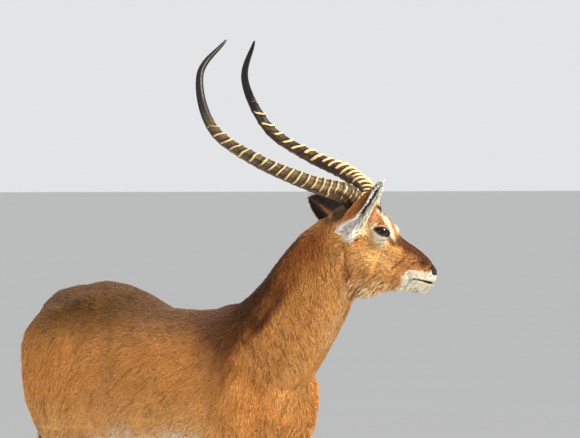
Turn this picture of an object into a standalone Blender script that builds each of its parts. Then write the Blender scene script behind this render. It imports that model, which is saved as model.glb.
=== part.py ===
"""Adult male red lechwe, standing square with its head turned to its left.

The trunk runs along Y and faces -Y, +Z is up, and X is the animal's left. Metres throughout.
The flesh is modelled whole, from lofts and muscle masses blended into one form, and is then
parted by thin plane cuts into trunk, neck, head, tail and legs. Ears, eyes, horns and hooves
are their own solids. The outline is that of the coat's tips.
"""

from math import cos, exp, pi, radians, sin

import bmesh
import bpy
import numpy as np
from mathutils import Matrix, Vector

# ---------------------------------------------------------------- driving dimensions

GAP = 0.0004                # clearance kept between neighbouring solids
WITHERS_HEIGHT = 0.992
CROUP_HEIGHT = 1.047
HEAD_TURN = radians(40.0)   # the head's heading, away from the trunk's, to the animal's left
HEAD_PITCH = radians(24.0)  # fall of the skull's long axis towards the nose
BROW = Vector((0.0895, -0.4775, 1.174))  # midway between the eyes

FORE_X, FORE_Y = 0.090, -0.010     # where the fore hooves stand
HIND_X, HIND_Y = 0.095, 0.800      # where the hind hooves stand
CORONET = 0.043                    # height of the top of the hooves
HOOF_LENGTH, HOOF_WIDTH = 0.086, 0.029

EYE_RADIUS = 0.0190
EYE_PLACE = (-0.004, 0.001, 0.0450)  # ahead of, above and aside from the brow point

EAR_WALL = 0.0045

HORN_RINGS = 17
RINGED_PART = 0.70          # share of a horn's length that carries rings
HORN_PATHS = {              # ahead, above and aside from the brow point, base to tip
    1: (
        (-0.059, 0.050, 0.036),
        (-0.082, 0.103, 0.098),
        (-0.148, 0.149, 0.180),
        (-0.267, 0.197, 0.245),
        (-0.377, 0.268, 0.247),
        (-0.431, 0.392, 0.210),
        (-0.387, 0.496, 0.138),
    ),
    -1: (
        (-0.059, 0.050, -0.036),
        (-0.086, 0.098, -0.094),
        (-0.159, 0.125, -0.168),
        (-0.289, 0.184, -0.218),
        (-0.411, 0.268, -0.206),
        (-0.455, 0.404, -0.162),
        (-0.401, 0.496, -0.096),
    ),
}

VOXEL = 0.0065              # fineness of the blended form
MARGIN = 0.02               # how far past its cut planes a stretch of it is kept while thinned
TRIANGLES = {"head": 2150, "neck": 440, "trunk": 1150, "tail": 110, "foreleg": 400, "hindleg": 470}


# ---------------------------------------------------------------- frames and helpers

HEADING = Vector((sin(HEAD_TURN), -cos(HEAD_TURN), 0.0))
HEAD_LEFT = Vector((cos(HEAD_TURN), sin(HEAD_TURN), 0.0))
UP = Vector((0.0, 0.0, 1.0))
SKULL_AXIS = cos(HEAD_PITCH) * HEADING - sin(HEAD_PITCH) * UP
SKULL_TOP = sin(HEAD_PITCH) * HEADING + cos(HEAD_PITCH) * UP


def at_head(ahead, above, aside):
    """A point given level with the ground, from the brow point."""
    return BROW + ahead * HEADING + above * UP + aside * HEAD_LEFT


def on_skull(along, over, aside=0.0):
    """A point given along and across the skull's own long axis, from the brow point."""
    return BROW + along * SKULL_AXIS + over * SKULL_TOP + aside * HEAD_LEFT


def smooth_rows(rows, per_span):
    """Rows of numbers made denser by a Catmull-Rom curve through them."""
    rows = np.array(rows, float)
    ends = np.vstack([2 * rows[0] - rows[1], rows, 2 * rows[-1] - rows[-2]])
    dense = []
    for before, start, end, after in zip(ends, ends[1:], ends[2:], ends[3:]):
        for t in np.linspace(0.0, 1.0, per_span, endpoint=False):
            dense.append(
                start
                + 0.5 * t * (end - before)
                + t * t * (before - 2.5 * start + 2.0 * end - 0.5 * after)
                + t**3 * (1.5 * (start - end) + 0.5 * (after - before))
            )
    dense.append(rows[-1])
    return np.array(dense)


class Form:
    """A growing set of closed shells, as vertices and faces."""

    def __init__(self):
        self.vertices = []
        self.faces = []

    def add_rings(self, rings):
        """Joins rings of equal count into a closed shell, with a flat fan over each end."""
        start, sides = len(self.vertices), len(rings[0])
        for ring in rings:
            self.vertices.extend(ring)
        for level in range(len(rings) - 1):
            low = start + level * sides
            for i in range(sides):
                j = (i + 1) % sides
                self.faces.append((low + i, low + j, low + sides + j, low + sides + i))
        for level, turn in ((0, -1), (len(rings) - 1, 1)):
            middle = len(self.vertices)
            self.vertices.append(sum((Vector(p) for p in rings[level]), Vector()) / sides)
            low = start + level * sides
            for i in range(sides):
                fan = (low + i, low + (i + 1) % sides, middle)
                self.faces.append(fan[::turn])

    def add_tube(self, rows, lateral, sides=20, per_span=4, power=2.0):
        """Rows of x, y, z, half width along lateral, half depth across it."""
        rows = smooth_rows(rows, per_span)
        tangents = np.gradient(rows[:, :3], axis=0)
        rings = []
        for row, tangent in zip(rows, tangents):
            run = Vector(tangent).normalized()
            wide = (lateral - lateral.dot(run) * run).normalized()
            deep = run.cross(wide)
            spot, half_wide, half_deep = Vector(row[:3]), float(row[3]), float(row[4])
            ring = []
            for i in range(sides):
                angle = 2 * pi * i / sides
                c, s = cos(angle), sin(angle)
                c = abs(c) ** (2 / power) * (1 if c > 0 else -1)
                s = abs(s) ** (2 / power) * (1 if s > 0 else -1)
                ring.append(spot + (half_wide * c) * wide + (half_deep * s) * deep)
            rings.append(ring)
        self.add_rings(rings)

    def add_mass(self, centre, radii, axes=None):
        """An ellipsoid; axes are the directions of its three radii."""
        axes = axes or (Vector((1, 0, 0)), Vector((0, 1, 0)), UP)
        rings = []
        for i in range(1, 12):
            polar = pi * i / 12
            ring = []
            for j in range(16):
                around = 2 * pi * j / 16
                spot = (
                    sin(polar) * cos(around) * radii[0] * axes[0]
                    + sin(polar) * sin(around) * radii[1] * axes[1]
                    - cos(polar) * radii[2] * axes[2]
                )
                ring.append(Vector(centre) + spot)
            rings.append(ring)
        self.add_rings(rings)

    def mesh(self, name):
        mesh = bpy.data.meshes.new(name)
        mesh.from_pydata([tuple(v) for v in self.vertices], [], self.faces)
        return mesh


def clear_scene():
    for obj in list(bpy.data.objects):
        bpy.data.objects.remove(obj, do_unlink=True)


def new_collection(name):
    collection = bpy.data.collections.new(name)
    bpy.context.scene.collection.children.link(collection)
    return collection


def new_object(name, mesh, collection):
    obj = bpy.data.objects.new(name, mesh)
    collection.objects.link(obj)
    return obj


def turned_outwards(mesh):
    """Points every face of a closed shell outwards."""
    shell = bmesh.new()
    shell.from_mesh(mesh)
    bmesh.ops.recalc_face_normals(shell, faces=shell.faces)
    shell.to_mesh(mesh)
    shell.free()
    return mesh


def evaluated_mesh(obj):
    """The object's mesh with its modifiers carried out."""
    graph = bpy.context.evaluated_depsgraph_get()
    return bpy.data.meshes.new_from_object(obj.evaluated_get(graph), depsgraph=graph)


def material(name, colour, roughness):
    made = bpy.data.materials.new(name)
    made.use_nodes = True
    shader = made.node_tree.nodes["Principled BSDF"]
    shader.inputs["Base Color"].default_value = (*colour, 1.0)
    shader.inputs["Roughness"].default_value = roughness
    shader.inputs["Metallic"].default_value = 0.0
    return made


# ---------------------------------------------------------------- the flesh, as one form

def add_trunk(form):
    """Rows: place along Y, top, underline and half width of the barrel."""
    barrel = (
        (-0.165, 0.835, 0.690, 0.045),
        (-0.135, 0.885, 0.640, 0.085),
        (-0.080, 0.942, 0.590, 0.118),
        (-0.010, WITHERS_HEIGHT, 0.560, 0.138),
        (0.100, 0.976, 0.545, 0.152),
        (0.220, 0.970, 0.540, 0.163),
        (0.350, 0.973, 0.546, 0.165),
        (0.430, 0.979, 0.562, 0.158),
        (0.505, 1.001, 0.584, 0.146),
        (0.575, 1.028, 0.612, 0.137),
        (0.650, CROUP_HEIGHT, 0.656, 0.130),
        (0.735, CROUP_HEIGHT, 0.710, 0.124),
        (0.810, 1.032, 0.780, 0.108),
        (0.868, 0.990, 0.830, 0.078),
        (0.898, 0.945, 0.865, 0.032),
    )
    rows = [(0, y, (top + low) / 2, wide, (top - low) / 2) for y, top, low, wide in barrel]
    form.add_tube(rows, Vector((1, 0, 0)), sides=28, power=2.15)
    form.add_mass((0, 0.000, 0.918), (0.052, 0.140, 0.072))          # withers
    form.add_mass((0, -0.135, 0.735), (0.085, 0.075, 0.115))         # breast
    for side in (-1, 1):
        form.add_mass((side * 0.074, 0.630, 0.968), (0.048, 0.095, 0.044))   # hip


def add_neck(form):
    rows = (
        (0.000, 0.030, 0.800, 0.105, 0.172),
        (0.000, -0.092, 0.872, 0.098, 0.156),
        (0.004, -0.186, 0.950, 0.088, 0.142),
        (0.010, -0.270, 1.038, 0.082, 0.132),
        (0.014, -0.335, 1.100, 0.074, 0.116),
        (0.024, -0.390, 1.138, 0.060, 0.095),
        (0.046, -0.432, 1.136, 0.046, 0.075),
    )
    form.add_tube(rows, Vector((1, 0, 0)), sides=24, power=2.1)


def add_head(form):
    """Rows: along the skull's axis, top, underside, half width and how much it narrows below."""
    skull = (
        (-0.158, -0.010, -0.085, 0.030, 0.1),
        (-0.140, 0.014, -0.115, 0.044, 0.1),
        (-0.115, 0.034, -0.140, 0.052, 0.1),
        (-0.085, 0.044, -0.170, 0.056, 0.15),
        (-0.055, 0.046, -0.182, 0.057, 0.25),
        (-0.025, 0.037, -0.186, 0.056, 0.35),
        (0.005, 0.018, -0.180, 0.052, 0.4),
        (0.040, 0.004, -0.162, 0.045, 0.35),
        (0.078, -0.003, -0.132, 0.037, 0.25),
        (0.110, -0.010, -0.117, 0.032, 0.12),
        (0.134, -0.018, -0.107, 0.029, 0.1),
        (0.151, -0.031, -0.099, 0.025, 0.05),
        (0.163, -0.049, -0.087, 0.014, 0.0),
    )
    sides = 24
    rings = []
    for along, top, low, wide, narrowing in smooth_rows(skull, 3).tolist():
        middle, deep = (top + low) / 2, (top - low) / 2
        ring = []
        for i in range(sides):
            angle = 2 * pi * i / sides
            waist = 1.0 - narrowing * (0.5 - 0.5 * sin(angle)) ** 1.5
            ring.append(on_skull(along, middle + deep * sin(angle), wide * waist * cos(angle)))
        rings.append(ring)
    form.add_rings(rings)
    axes = (SKULL_AXIS, SKULL_TOP, HEAD_LEFT)
    for side in (-1, 1):
        eye = at_head(EYE_PLACE[0], EYE_PLACE[1], side * EYE_PLACE[2])
        form.add_mass(eye - 0.007 * SKULL_AXIS, (0.026, 0.023, 0.0165), axes)       # orbit
        form.add_mass(at_head(-0.030, 0.022, side * 0.036), (0.026, 0.015, 0.020), axes)  # brow
        form.add_mass(on_skull(-0.030, -0.095, side * 0.030), (0.052, 0.052, 0.029), axes)  # cheek
        form.add_mass(on_skull(0.138, -0.050, side * 0.014), (0.024, 0.022, 0.019), axes)  # nostril
        form.add_mass(on_skull(0.127, -0.074, side * 0.013), (0.030, 0.018, 0.019), axes)  # lip
        root = at_head(-0.060, 0.044, side * 0.032)
        form.add_mass(root, (0.040, 0.032, 0.034), axes)                            # horn's foot
        form.add_mass(at_head(-0.090, 0.008, side * 0.046), (0.034, 0.040, 0.024), axes)  # ear root
    form.add_mass(on_skull(0.124, -0.096), (0.034, 0.017, 0.022), axes)             # chin
    form.add_mass(at_head(-0.050, 0.052, 0.0), (0.027, 0.024, 0.026), axes)         # forelock


def add_foreleg(form, side):
    x, y = side * FORE_X, FORE_Y
    shoulder = (
        (side * 0.055, 0.035, 0.930, 0.030, 0.040),
        (side * 0.088, 0.000, 0.860, 0.042, 0.075),
        (side * 0.102, -0.045, 0.770, 0.048, 0.090),
        (side * 0.100, -0.060, 0.705, 0.048, 0.080),
        (side * 0.100, -0.010, 0.620, 0.045, 0.066),
        (side * 0.096, 0.010, 0.570, 0.040, 0.054),
    )
    form.add_tube(shoulder, Vector((1, 0, 0)))
    limb = (
        (side * 0.098, 0.012, 0.640, 0.042, 0.058),
        (side * 0.096, 0.012, 0.580, 0.039, 0.051),
        (side * 0.094, 0.005, 0.510, 0.033, 0.040),
        (side * 0.092, -0.002, 0.430, 0.027, 0.031),
        (side * 0.091, -0.008, 0.365, 0.0265, 0.030),
        (x, y, 0.330, 0.0290, 0.0325),
        (x, y + 0.001, 0.298, 0.0245, 0.0275),
        (x, y + 0.004, 0.255, 0.0180, 0.0220),
        (x, y + 0.006, 0.185, 0.0172, 0.0210),
        (x, y + 0.006, 0.140, 0.0200, 0.0240),
        (x, y + 0.004, 0.112, 0.0240, 0.0285),
        (x, y - 0.010, 0.082, 0.0230, 0.0240),
        (x, y - 0.026, 0.055, 0.0270, 0.0270),
        (x, y - 0.036, 0.030, 0.0290, 0.0300),
    )
    form.add_tube(limb, Vector((1, 0, 0)))
    for toe in (-1, 1):
        form.add_mass((x + toe * 0.013, y + 0.030, 0.094), (0.0085, 0.0085, 0.0120))  # dewclaw
        form.add_mass((x + toe * 0.015, y - 0.020, 0.046), (0.0160, 0.0260, 0.0200))  # bulb


def add_hindleg(form, side):
    x, y = side * HIND_X, HIND_Y
    thigh = (
        (side * 0.068, 0.725, 0.960, 0.050, 0.090),
        (side * 0.088, 0.735, 0.880, 0.064, 0.150),
        (side * 0.098, 0.725, 0.790, 0.068, 0.160),
        (side * 0.104, 0.700, 0.705, 0.062, 0.135),
        (side * 0.106, 0.685, 0.630, 0.052, 0.105),
        (side * 0.104, 0.705, 0.560, 0.043, 0.080),
    )
    form.add_tube(thigh, Vector((1, 0, 0)))
    form.add_mass((side * 0.085, 0.850, 0.850), (0.050, 0.046, 0.085))     # buttock
    form.add_mass((side * 0.112, 0.610, 0.640), (0.034, 0.040, 0.052))     # stifle
    limb = (
        (side * 0.106, 0.685, 0.640, 0.050, 0.100),
        (side * 0.104, 0.710, 0.570, 0.042, 0.078),
        (side * 0.101, 0.750, 0.500, 0.034, 0.055),
        (side * 0.098, 0.790, 0.440, 0.027, 0.040),
        (side * 0.096, 0.820, 0.395, 0.0270, 0.0400),
        (x, y + 0.028, 0.355, 0.0275, 0.0390),
        (x, y + 0.026, 0.315, 0.0235, 0.0300),
        (x, y + 0.024, 0.260, 0.0195, 0.0240),
        (x, y + 0.020, 0.190, 0.0185, 0.0225),
        (x, y + 0.014, 0.145, 0.0210, 0.0250),
        (x, y + 0.008, 0.116, 0.0245, 0.0290),
        (x, y - 0.008, 0.084, 0.0230, 0.0240),
        (x, y - 0.025, 0.055, 0.0270, 0.0270),
        (x, y - 0.036, 0.030, 0.0290, 0.0300),
    )
    form.add_tube(limb, Vector((1, 0, 0)))
    form.add_mass((side * 0.097, 0.861, 0.412), (0.016, 0.018, 0.030))     # point of the hock
    for toe in (-1, 1):
        form.add_mass((x + toe * 0.013, y + 0.034, 0.097), (0.0085, 0.0085, 0.0120))  # dewclaw
        form.add_mass((x + toe * 0.015, y - 0.020, 0.046), (0.0160, 0.0260, 0.0200))  # bulb


def add_tail(form):
    rows = (
        (0, 0.845, 0.985, 0.030, 0.024),
        (0, 0.890, 0.962, 0.027, 0.022),
        (0, 0.922, 0.915, 0.022, 0.019),
        (0, 0.937, 0.845, 0.018, 0.016),
        (0, 0.941, 0.760, 0.016, 0.015),
        (0, 0.941, 0.680, 0.017, 0.016),
        (0, 0.940, 0.620, 0.022, 0.020),
        (0, 0.938, 0.570, 0.021, 0.019),
        (0, 0.936, 0.530, 0.010, 0.009),
    )
    form.add_tube(rows, Vector((1, 0, 0)))


def whole_body(helpers):
    """The flesh as one fine closed mesh."""
    form = Form()
    add_trunk(form)
    add_neck(form)
    add_head(form)
    add_tail(form)
    for side in (-1, 1):
        add_foreleg(form, side)
        add_hindleg(form, side)
    blended = new_object("blended_form", form.mesh("blended_form"), helpers)
    remesh = blended.modifiers.new("blend", "REMESH")
    remesh.mode = "VOXEL"
    remesh.voxel_size = VOXEL
    soften = blended.modifiers.new("soften", "SMOOTH")
    soften.factor = 0.5
    soften.iterations = 7
    fine = evaluated_mesh(blended)
    bpy.data.objects.remove(blended, do_unlink=True)
    return fine


def thinned(fine, planes, triangles, helpers):
    """The stretch of the form near a set of half spaces, closed, in few triangles."""
    shell = bmesh.new()
    shell.from_mesh(fine)
    outside = [
        vertex
        for vertex in shell.verts
        if any((vertex.co - point).dot(normal) < -MARGIN for point, normal in planes)
    ]
    bmesh.ops.delete(shell, geom=outside, context="VERTS")
    bmesh.ops.triangulate(shell, faces=shell.faces)
    stretch = bpy.data.meshes.new("stretch")
    shell.to_mesh(stretch)
    count = len(shell.faces)
    shell.free()
    obj = new_object("stretch", stretch, helpers)
    decimate = obj.modifiers.new("thin", "DECIMATE")
    decimate.ratio = triangles / count
    coarse = evaluated_mesh(obj)
    bpy.data.objects.remove(obj, do_unlink=True)
    shell = bmesh.new()
    shell.from_mesh(coarse)
    bmesh.ops.holes_fill(shell, edges=[edge for edge in shell.edges if edge.is_boundary])
    bmesh.ops.triangulate(shell, faces=shell.faces)
    bmesh.ops.recalc_face_normals(shell, faces=shell.faces)
    shell.to_mesh(coarse)
    shell.free()
    return coarse


# ---------------------------------------------------------------- parting the flesh

def block(name, middle, size, turn, helpers):
    """A box cutter, its middle and half sizes in a frame turned by a matrix."""
    mesh = bpy.data.meshes.new(name)
    shell = bmesh.new()
    bmesh.ops.create_cube(shell, size=2.0, matrix=Matrix.Diagonal((*size, 1.0)))
    shell.to_mesh(mesh)
    shell.free()
    cutter = new_object(name, mesh, helpers)
    cutter.matrix_world = Matrix.Translation(middle) @ turn.to_4x4()
    mesh.transform(cutter.matrix_world)
    cutter.matrix_world = Matrix()
    cutter.hide_render = True
    cutter.display_type = "WIRE"
    return cutter


def beyond(name, point, normal, helpers, reach=3.0):
    """A cutter that holds everything past a plane, less half the gap."""
    normal = normal.normalized()
    turn = normal.to_track_quat("Z", "Y").to_matrix()
    middle = point + (reach + GAP / 2) * normal
    return block(name, middle, (reach, reach, reach), turn, helpers)


def cut(obj, cutter, operation):
    boolean = obj.modifiers.new(cutter.name, "BOOLEAN")
    boolean.operation = operation
    boolean.solver = "EXACT"
    boolean.object = cutter


def grown_copy(mesh, name, helpers, growth=1.5 * GAP):
    """The same shape, a little larger all over, as a cutter."""
    obj = new_object(name, mesh, helpers)
    grown = obj.modifiers.new("grow", "DISPLACE")
    grown.mid_level = 0.0
    grown.strength = growth
    obj.hide_render = True
    obj.display_type = "WIRE"
    return obj


def part_body(body, parts, helpers, hide):
    """Each node is the whole form, kept on its own side of the planes that bound it."""
    throat = (at_head(-0.125, -0.030, 0.0), 0.983 * HEADING + 0.188 * UP)
    neck_foot = (Vector((0, -0.030, 0.990)), Vector((0, -0.852, 0.524)))
    elbow = (Vector((0, 0, 0.530)), Vector((0, 0, -1)))
    groin = (Vector((0, 0.460, 0.538)), Vector((0, 0.371, -0.928)))
    dock = (Vector((0, 0.904, 0)), Vector((0, 1, 0)))
    waist = (Vector((0, 0.350, 0)), Vector((0, 1, 0)))
    left = (Vector((0, 0, 0)), Vector((1, 0, 0)))
    above_hooves = (Vector((0, 0, CORONET)), Vector((0, 0, 1)))

    def inside(plane, side=1):
        return (plane[0], side * plane[1])

    bounds = {
        "head": [inside(throat)],
        "neck": [inside(throat, -1), inside(neck_foot)],
        "tail": [inside(dock)],
        "trunk": [
            inside(neck_foot, -1),
            inside(elbow, -1),
            inside(groin, -1),
            inside(dock, -1),
        ],
    }
    for name, side in (("left", 1), ("right", -1)):
        common = [inside(left, side), inside(above_hooves)]
        bounds["foreleg_" + name] = common + [inside(elbow), inside(waist, -1)]
        bounds["hindleg_" + name] = common + [inside(groin), inside(waist), inside(dock, -1)]
    made = {}
    for name, planes in bounds.items():
        triangles = TRIANGLES[name.split("_")[0]]
        obj = new_object(name, thinned(body, planes, triangles, helpers), parts)
        obj.data.materials.append(hide)
        for number, (point, normal) in enumerate(planes):
            cutter = beyond(f"{name}_cut_{number}", point, normal, helpers)
            cut(obj, cutter, "INTERSECT")
        made[name] = obj
    return made


# ---------------------------------------------------------------- eyes, ears, horns, hooves

def eyeball(name, side, radius, collection):
    mesh = bpy.data.meshes.new(name)
    shell = bmesh.new()
    middle = at_head(EYE_PLACE[0], EYE_PLACE[1], side * EYE_PLACE[2])
    bmesh.ops.create_icosphere(
        shell, subdivisions=2, radius=radius, matrix=Matrix.Translation(middle)
    )
    shell.to_mesh(mesh)
    shell.free()
    return new_object(name, mesh, collection)


def eased(x, start, end):
    share = min(max((x - start) / (end - start), 0.0), 1.0)
    return share * share * (3 - 2 * share)


def ear(name, root, tip, opening, twist, width, hooded, collection):
    """A cupped leaf from root to tip. Its hollow faces the opening at the root, then twists.
    A hooded ear curls its rear edge over the hollow and spreads its fore edge."""
    axis = (tip - root).normalized()
    start = (opening - opening.dot(axis) * axis).normalized()
    along_steps, across_steps = 9, 8
    vertices, faces = [], []
    for i in range(along_steps + 1):
        t = i / along_steps
        hollow = Matrix.Rotation(twist * eased(t, 0.0, 0.6), 3, axis) @ start
        across = axis.cross(hollow)
        half = width * (0.78 + 0.22 * t) * (1 - t**2.2) ** 0.66 + 0.0025
        even = radians(115.0) * (1 - t) ** 1.3 + radians(34.0)
        rear = radians(95 + 40 * eased(t, 0.10, 0.45) - 45 * eased(t, 0.65, 1.0))
        fore = radians(58.0) + radians(40.0) * (1 - t) ** 2
        lean = 0.012 * sin(pi * t)
        for j in range(across_steps + 1):
            u = 2 * j / across_steps - 1
            curl = even + hooded * ((rear if u < 0 else fore) - even)
            reach = half * (1 + hooded * (-0.08 if u < 0 else 0.16))
            angle = curl * u
            radius = reach / sin(min(curl, pi / 2))
            spot = root + t * (tip - root)
            spot = spot + radius * sin(angle) * across
            spot = spot + (radius * (1 - cos(angle)) - lean) * hollow
            vertices.append(spot)
    row = across_steps + 1
    for i in range(along_steps):
        for j in range(across_steps):
            low = i * row + j
            faces.append((low, low + 1, low + row + 1, low + row))
    mesh = bpy.data.meshes.new(name)
    mesh.from_pydata([tuple(v) for v in vertices], [], faces)
    obj = new_object(name, mesh, collection)
    wall = obj.modifiers.new("wall", "SOLIDIFY")
    wall.thickness = EAR_WALL
    wall.offset = 0.0
    return obj


def horn(name, side, collection):
    """A curved, ringed cone. The rings stand proud on its fore side."""
    path = smooth_rows([at_head(*spot) for spot in HORN_PATHS[side]], 40)
    steps = np.linalg.norm(np.diff(path, axis=0), axis=1)
    reached = np.concatenate([[0.0], np.cumsum(steps)])
    length = reached[-1]
    per_ring = 3
    stations = []
    for i in range(HORN_RINGS * per_ring):
        share = (i / (HORN_RINGS * per_ring)) ** 1.12 * RINGED_PART
        stations.append((share, 1.0 if i % per_ring == 1 else 0.0))
    stations += [(share, 0.0) for share in (*np.linspace(RINGED_PART, 0.96, 7), 0.985, 0.998)]
    rings = []
    for share, crest in np.array(stations).tolist():
        spot = Vector([float(np.interp(share * length, reached, path[:, k])) for k in range(3)])
        ahead = Vector(
            [float(np.interp((share + 0.01) * length, reached, path[:, k])) for k in range(3)]
        )
        run = (ahead - spot).normalized()
        wide = (HEAD_LEFT - HEAD_LEFT.dot(run) * run).normalized()
        fore = run.cross(wide)
        rest = 1 - share
        radius = 0.0125 * rest**7 + 0.0020 * rest**2 + 0.0200 * rest**0.42
        ridge = crest * 0.0034 * (1 - 0.4 * share / RINGED_PART)
        ring = []
        for k in range(8):
            angle = 2 * pi * k / 8
            proud = ridge * (0.35 + 0.65 * (0.5 - 0.5 * sin(angle)))
            ring.append(spot + (radius + proud) * (0.92 * cos(angle) * wide + sin(angle) * fore))
        rings.append(ring)
    form = Form()
    form.add_rings(rings)
    return new_object(name, turned_outwards(form.mesh(name)), collection)


def claw(name, x, y, side, collection):
    """One half of a cloven hoof: long and pointed, flat below, its outer edge the fuller."""
    levels = (
        (0.000, 0.000, 1.00, 1.00),
        (0.014, 0.009, 0.96, 0.90),
        (0.028, 0.025, 0.88, 0.73),
        (CORONET - GAP / 2, 0.040, 0.76, 0.54),
    )
    rings = []
    sides = 10
    for height, set_back, breadth, length in levels:
        ring = []
        for k in range(sides):
            angle = 2 * pi * k / sides
            point = 0.5 - 0.5 * cos(angle)
            fullness = sin(angle) * (1 - 0.62 * point**2.2)
            ring.append(
                Vector(
                    (
                        x + side * (HOOF_WIDTH * 0.5 + 0.0015) + breadth * HOOF_WIDTH / 2 * fullness,
                        y - HOOF_LENGTH + set_back + length * HOOF_LENGTH * (1 - point),
                        height,
                    )
                )
            )
        rings.append(ring)
    form = Form()
    form.add_rings(rings)
    return new_object(name, turned_outwards(form.mesh(name)), collection)


def stand_on_origin(parts):
    """Moves everything so that the middle of the model's box, at the floor, is the origin."""
    bpy.context.view_layer.update()
    graph = bpy.context.evaluated_depsgraph_get()
    corners = []
    for obj in parts.objects:
        solid = obj.evaluated_get(graph)
        corners += [solid.matrix_world @ Vector(corner) for corner in solid.bound_box]
    middle = [(min(c[k] for c in corners) + max(c[k] for c in corners)) / 2 for k in range(2)]
    shift = Matrix.Translation((-middle[0], -middle[1], 0.0))
    for mesh in {obj.data for obj in bpy.data.objects}:
        mesh.transform(shift)
    bpy.context.view_layer.update()


def build():
    clear_scene()
    parts = new_collection("red_lechwe")
    helpers = new_collection("cutters")
    hide = material("chestnut_coat", (0.46, 0.21, 0.08), 0.75)
    horn_sheath = material("horn_sheath", (0.10, 0.08, 0.06), 0.45)
    hoof_horn = material("hoof_horn", (0.05, 0.04, 0.035), 0.5)
    eye_dark = material("eye_dark", (0.02, 0.012, 0.008), 0.08)

    body = whole_body(helpers)
    nodes = part_body(body, parts, helpers, hide)
    head = nodes["head"]

    clearances = [
        grown_copy(evaluated_mesh(nodes[name]), name + "_clearance", helpers, 3 * GAP)
        for name in ("head", "neck")
    ]

    for side, name in ((1, "left"), (-1, "right")):
        ball = eyeball("eye_" + name, side, EYE_RADIUS, parts)
        ball.data.materials.append(eye_dark)
        socket = eyeball("socket_" + name, side, EYE_RADIUS + GAP, helpers)
        socket.hide_render = True
        socket.display_type = "WIRE"
        cut(head, socket, "DIFFERENCE")

        antler = horn("horn_" + name, side, parts)
        antler.data.materials.append(horn_sheath)
        pocket = grown_copy(antler.data, "horn_pocket_" + name, helpers, 3 * GAP)
        cut(head, pocket, "DIFFERENCE")
        clearances.append(grown_copy(antler.data, "horn_clearance_" + name, helpers, 3 * GAP))

    raised = ear(
        "ear_right",
        at_head(-0.106, 0.005, -0.066),
        at_head(0.022, 0.127, -0.172),
        Vector(-0.90 * HEAD_LEFT + 0.42 * HEADING - 0.1 * UP),
        radians(24.0),
        0.031,
        1.0,
        parts,
    )
    laid_back = ear(
        "ear_left",
        at_head(-0.104, 0.008, 0.064),
        at_head(-0.232, 0.088, 0.112),
        Vector(0.80 * HEAD_LEFT - 0.35 * HEADING + 0.1 * UP),
        0.0,
        0.047,
        0.0,
        parts,
    )
    for leaf in (raised, laid_back):
        leaf.data.materials.append(hide)
        for clearance in clearances:
            cut(leaf, clearance, "DIFFERENCE")

    feet = {"fore": (FORE_X, FORE_Y), "hind": (HIND_X, HIND_Y)}
    for pair, (x, y) in feet.items():
        for side, name in ((1, "left"), (-1, "right")):
            for toe, place in ((side, "outer"), (-side, "inner")):
                hoof = claw(f"hoof_{pair}_{name}_{place}", side * x, y - 0.005, toe, parts)
                hoof.data.materials.append(hoof_horn)

    stand_on_origin(parts)


build()
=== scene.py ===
# The looks of a life-size adult male red lechwe: skin, coat, eyes, ears, horns and hooves.
# Metres throughout. The trunk faces -Y, +Z is up and +X is the animal's left.

from math import cos, pi, radians, sin

import bmesh
import bpy
import numpy as np
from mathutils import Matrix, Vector


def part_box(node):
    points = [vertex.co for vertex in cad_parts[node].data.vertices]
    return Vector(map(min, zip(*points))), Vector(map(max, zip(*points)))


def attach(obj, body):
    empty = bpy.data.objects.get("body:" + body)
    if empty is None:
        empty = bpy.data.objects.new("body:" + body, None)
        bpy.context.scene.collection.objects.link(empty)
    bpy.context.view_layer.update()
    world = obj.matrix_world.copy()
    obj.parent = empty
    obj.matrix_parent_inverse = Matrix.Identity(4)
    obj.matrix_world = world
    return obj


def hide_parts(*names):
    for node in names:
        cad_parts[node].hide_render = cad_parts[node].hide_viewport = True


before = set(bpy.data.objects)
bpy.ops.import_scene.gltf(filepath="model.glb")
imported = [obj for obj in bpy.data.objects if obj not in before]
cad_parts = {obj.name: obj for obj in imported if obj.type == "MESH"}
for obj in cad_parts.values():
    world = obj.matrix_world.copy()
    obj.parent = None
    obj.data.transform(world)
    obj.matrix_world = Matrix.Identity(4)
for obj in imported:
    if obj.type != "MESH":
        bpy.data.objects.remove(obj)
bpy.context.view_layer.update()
bpy.ops.object.select_all(action="DESELECT")

RANDOM = np.random.default_rng(1906)
TUFT_SHARE = 1.0
SIDES = ((1, "left"), (-1, "right"))
UP, BACK = np.array([0.0, 0.0, 1.0]), np.array([0.0, 1.0, 0.0])
FLESH = ["head", "neck", "trunk", "tail"] + [
    f"{limb}_{side}" for limb in ("foreleg", "hindleg") for side in ("left", "right")
]

# ---- the animal's own frames

HEAD_PITCH = radians(24.0)      # fall of the skull's long axis towards the nose
BROW_TO_WITHERS = np.array([-0.0895, 0.4775, -1.174])


def unit(v):
    return v / np.linalg.norm(v, axis=-1, keepdims=True)


def node_middle(name):
    low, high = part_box(name)
    return (np.array(low) + np.array(high)) / 2


EYES = {1: node_middle("eye_left"), -1: node_middle("eye_right")}
EYE_RADIUS = (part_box("eye_left")[1][2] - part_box("eye_left")[0][2]) / 2
LEFT = unit((EYES[1] - EYES[-1]) * (1, 1, 0))
HEADING = np.cross(LEFT, UP)
BROW = (EYES[1] + EYES[-1]) / 2 + 0.004 * HEADING - 0.001 * UP
WITHERS = BROW + BROW_TO_WITHERS          # on the floor, below the withers
SKULL = cos(HEAD_PITCH) * HEADING - sin(HEAD_PITCH) * UP
CROWN = sin(HEAD_PITCH) * HEADING + cos(HEAD_PITCH) * UP


def at_head(ahead, above, aside):
    """A point given level with the ground, from the brow point."""
    return BROW + ahead * HEADING + above * UP + aside * LEFT


def ease(x, start, end):
    """0 at start, 1 at end, smooth between; start may be the larger."""
    t = np.clip((x - start) / (end - start), 0.0, 1.0)
    return t * t * (3 - 2 * t)


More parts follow.
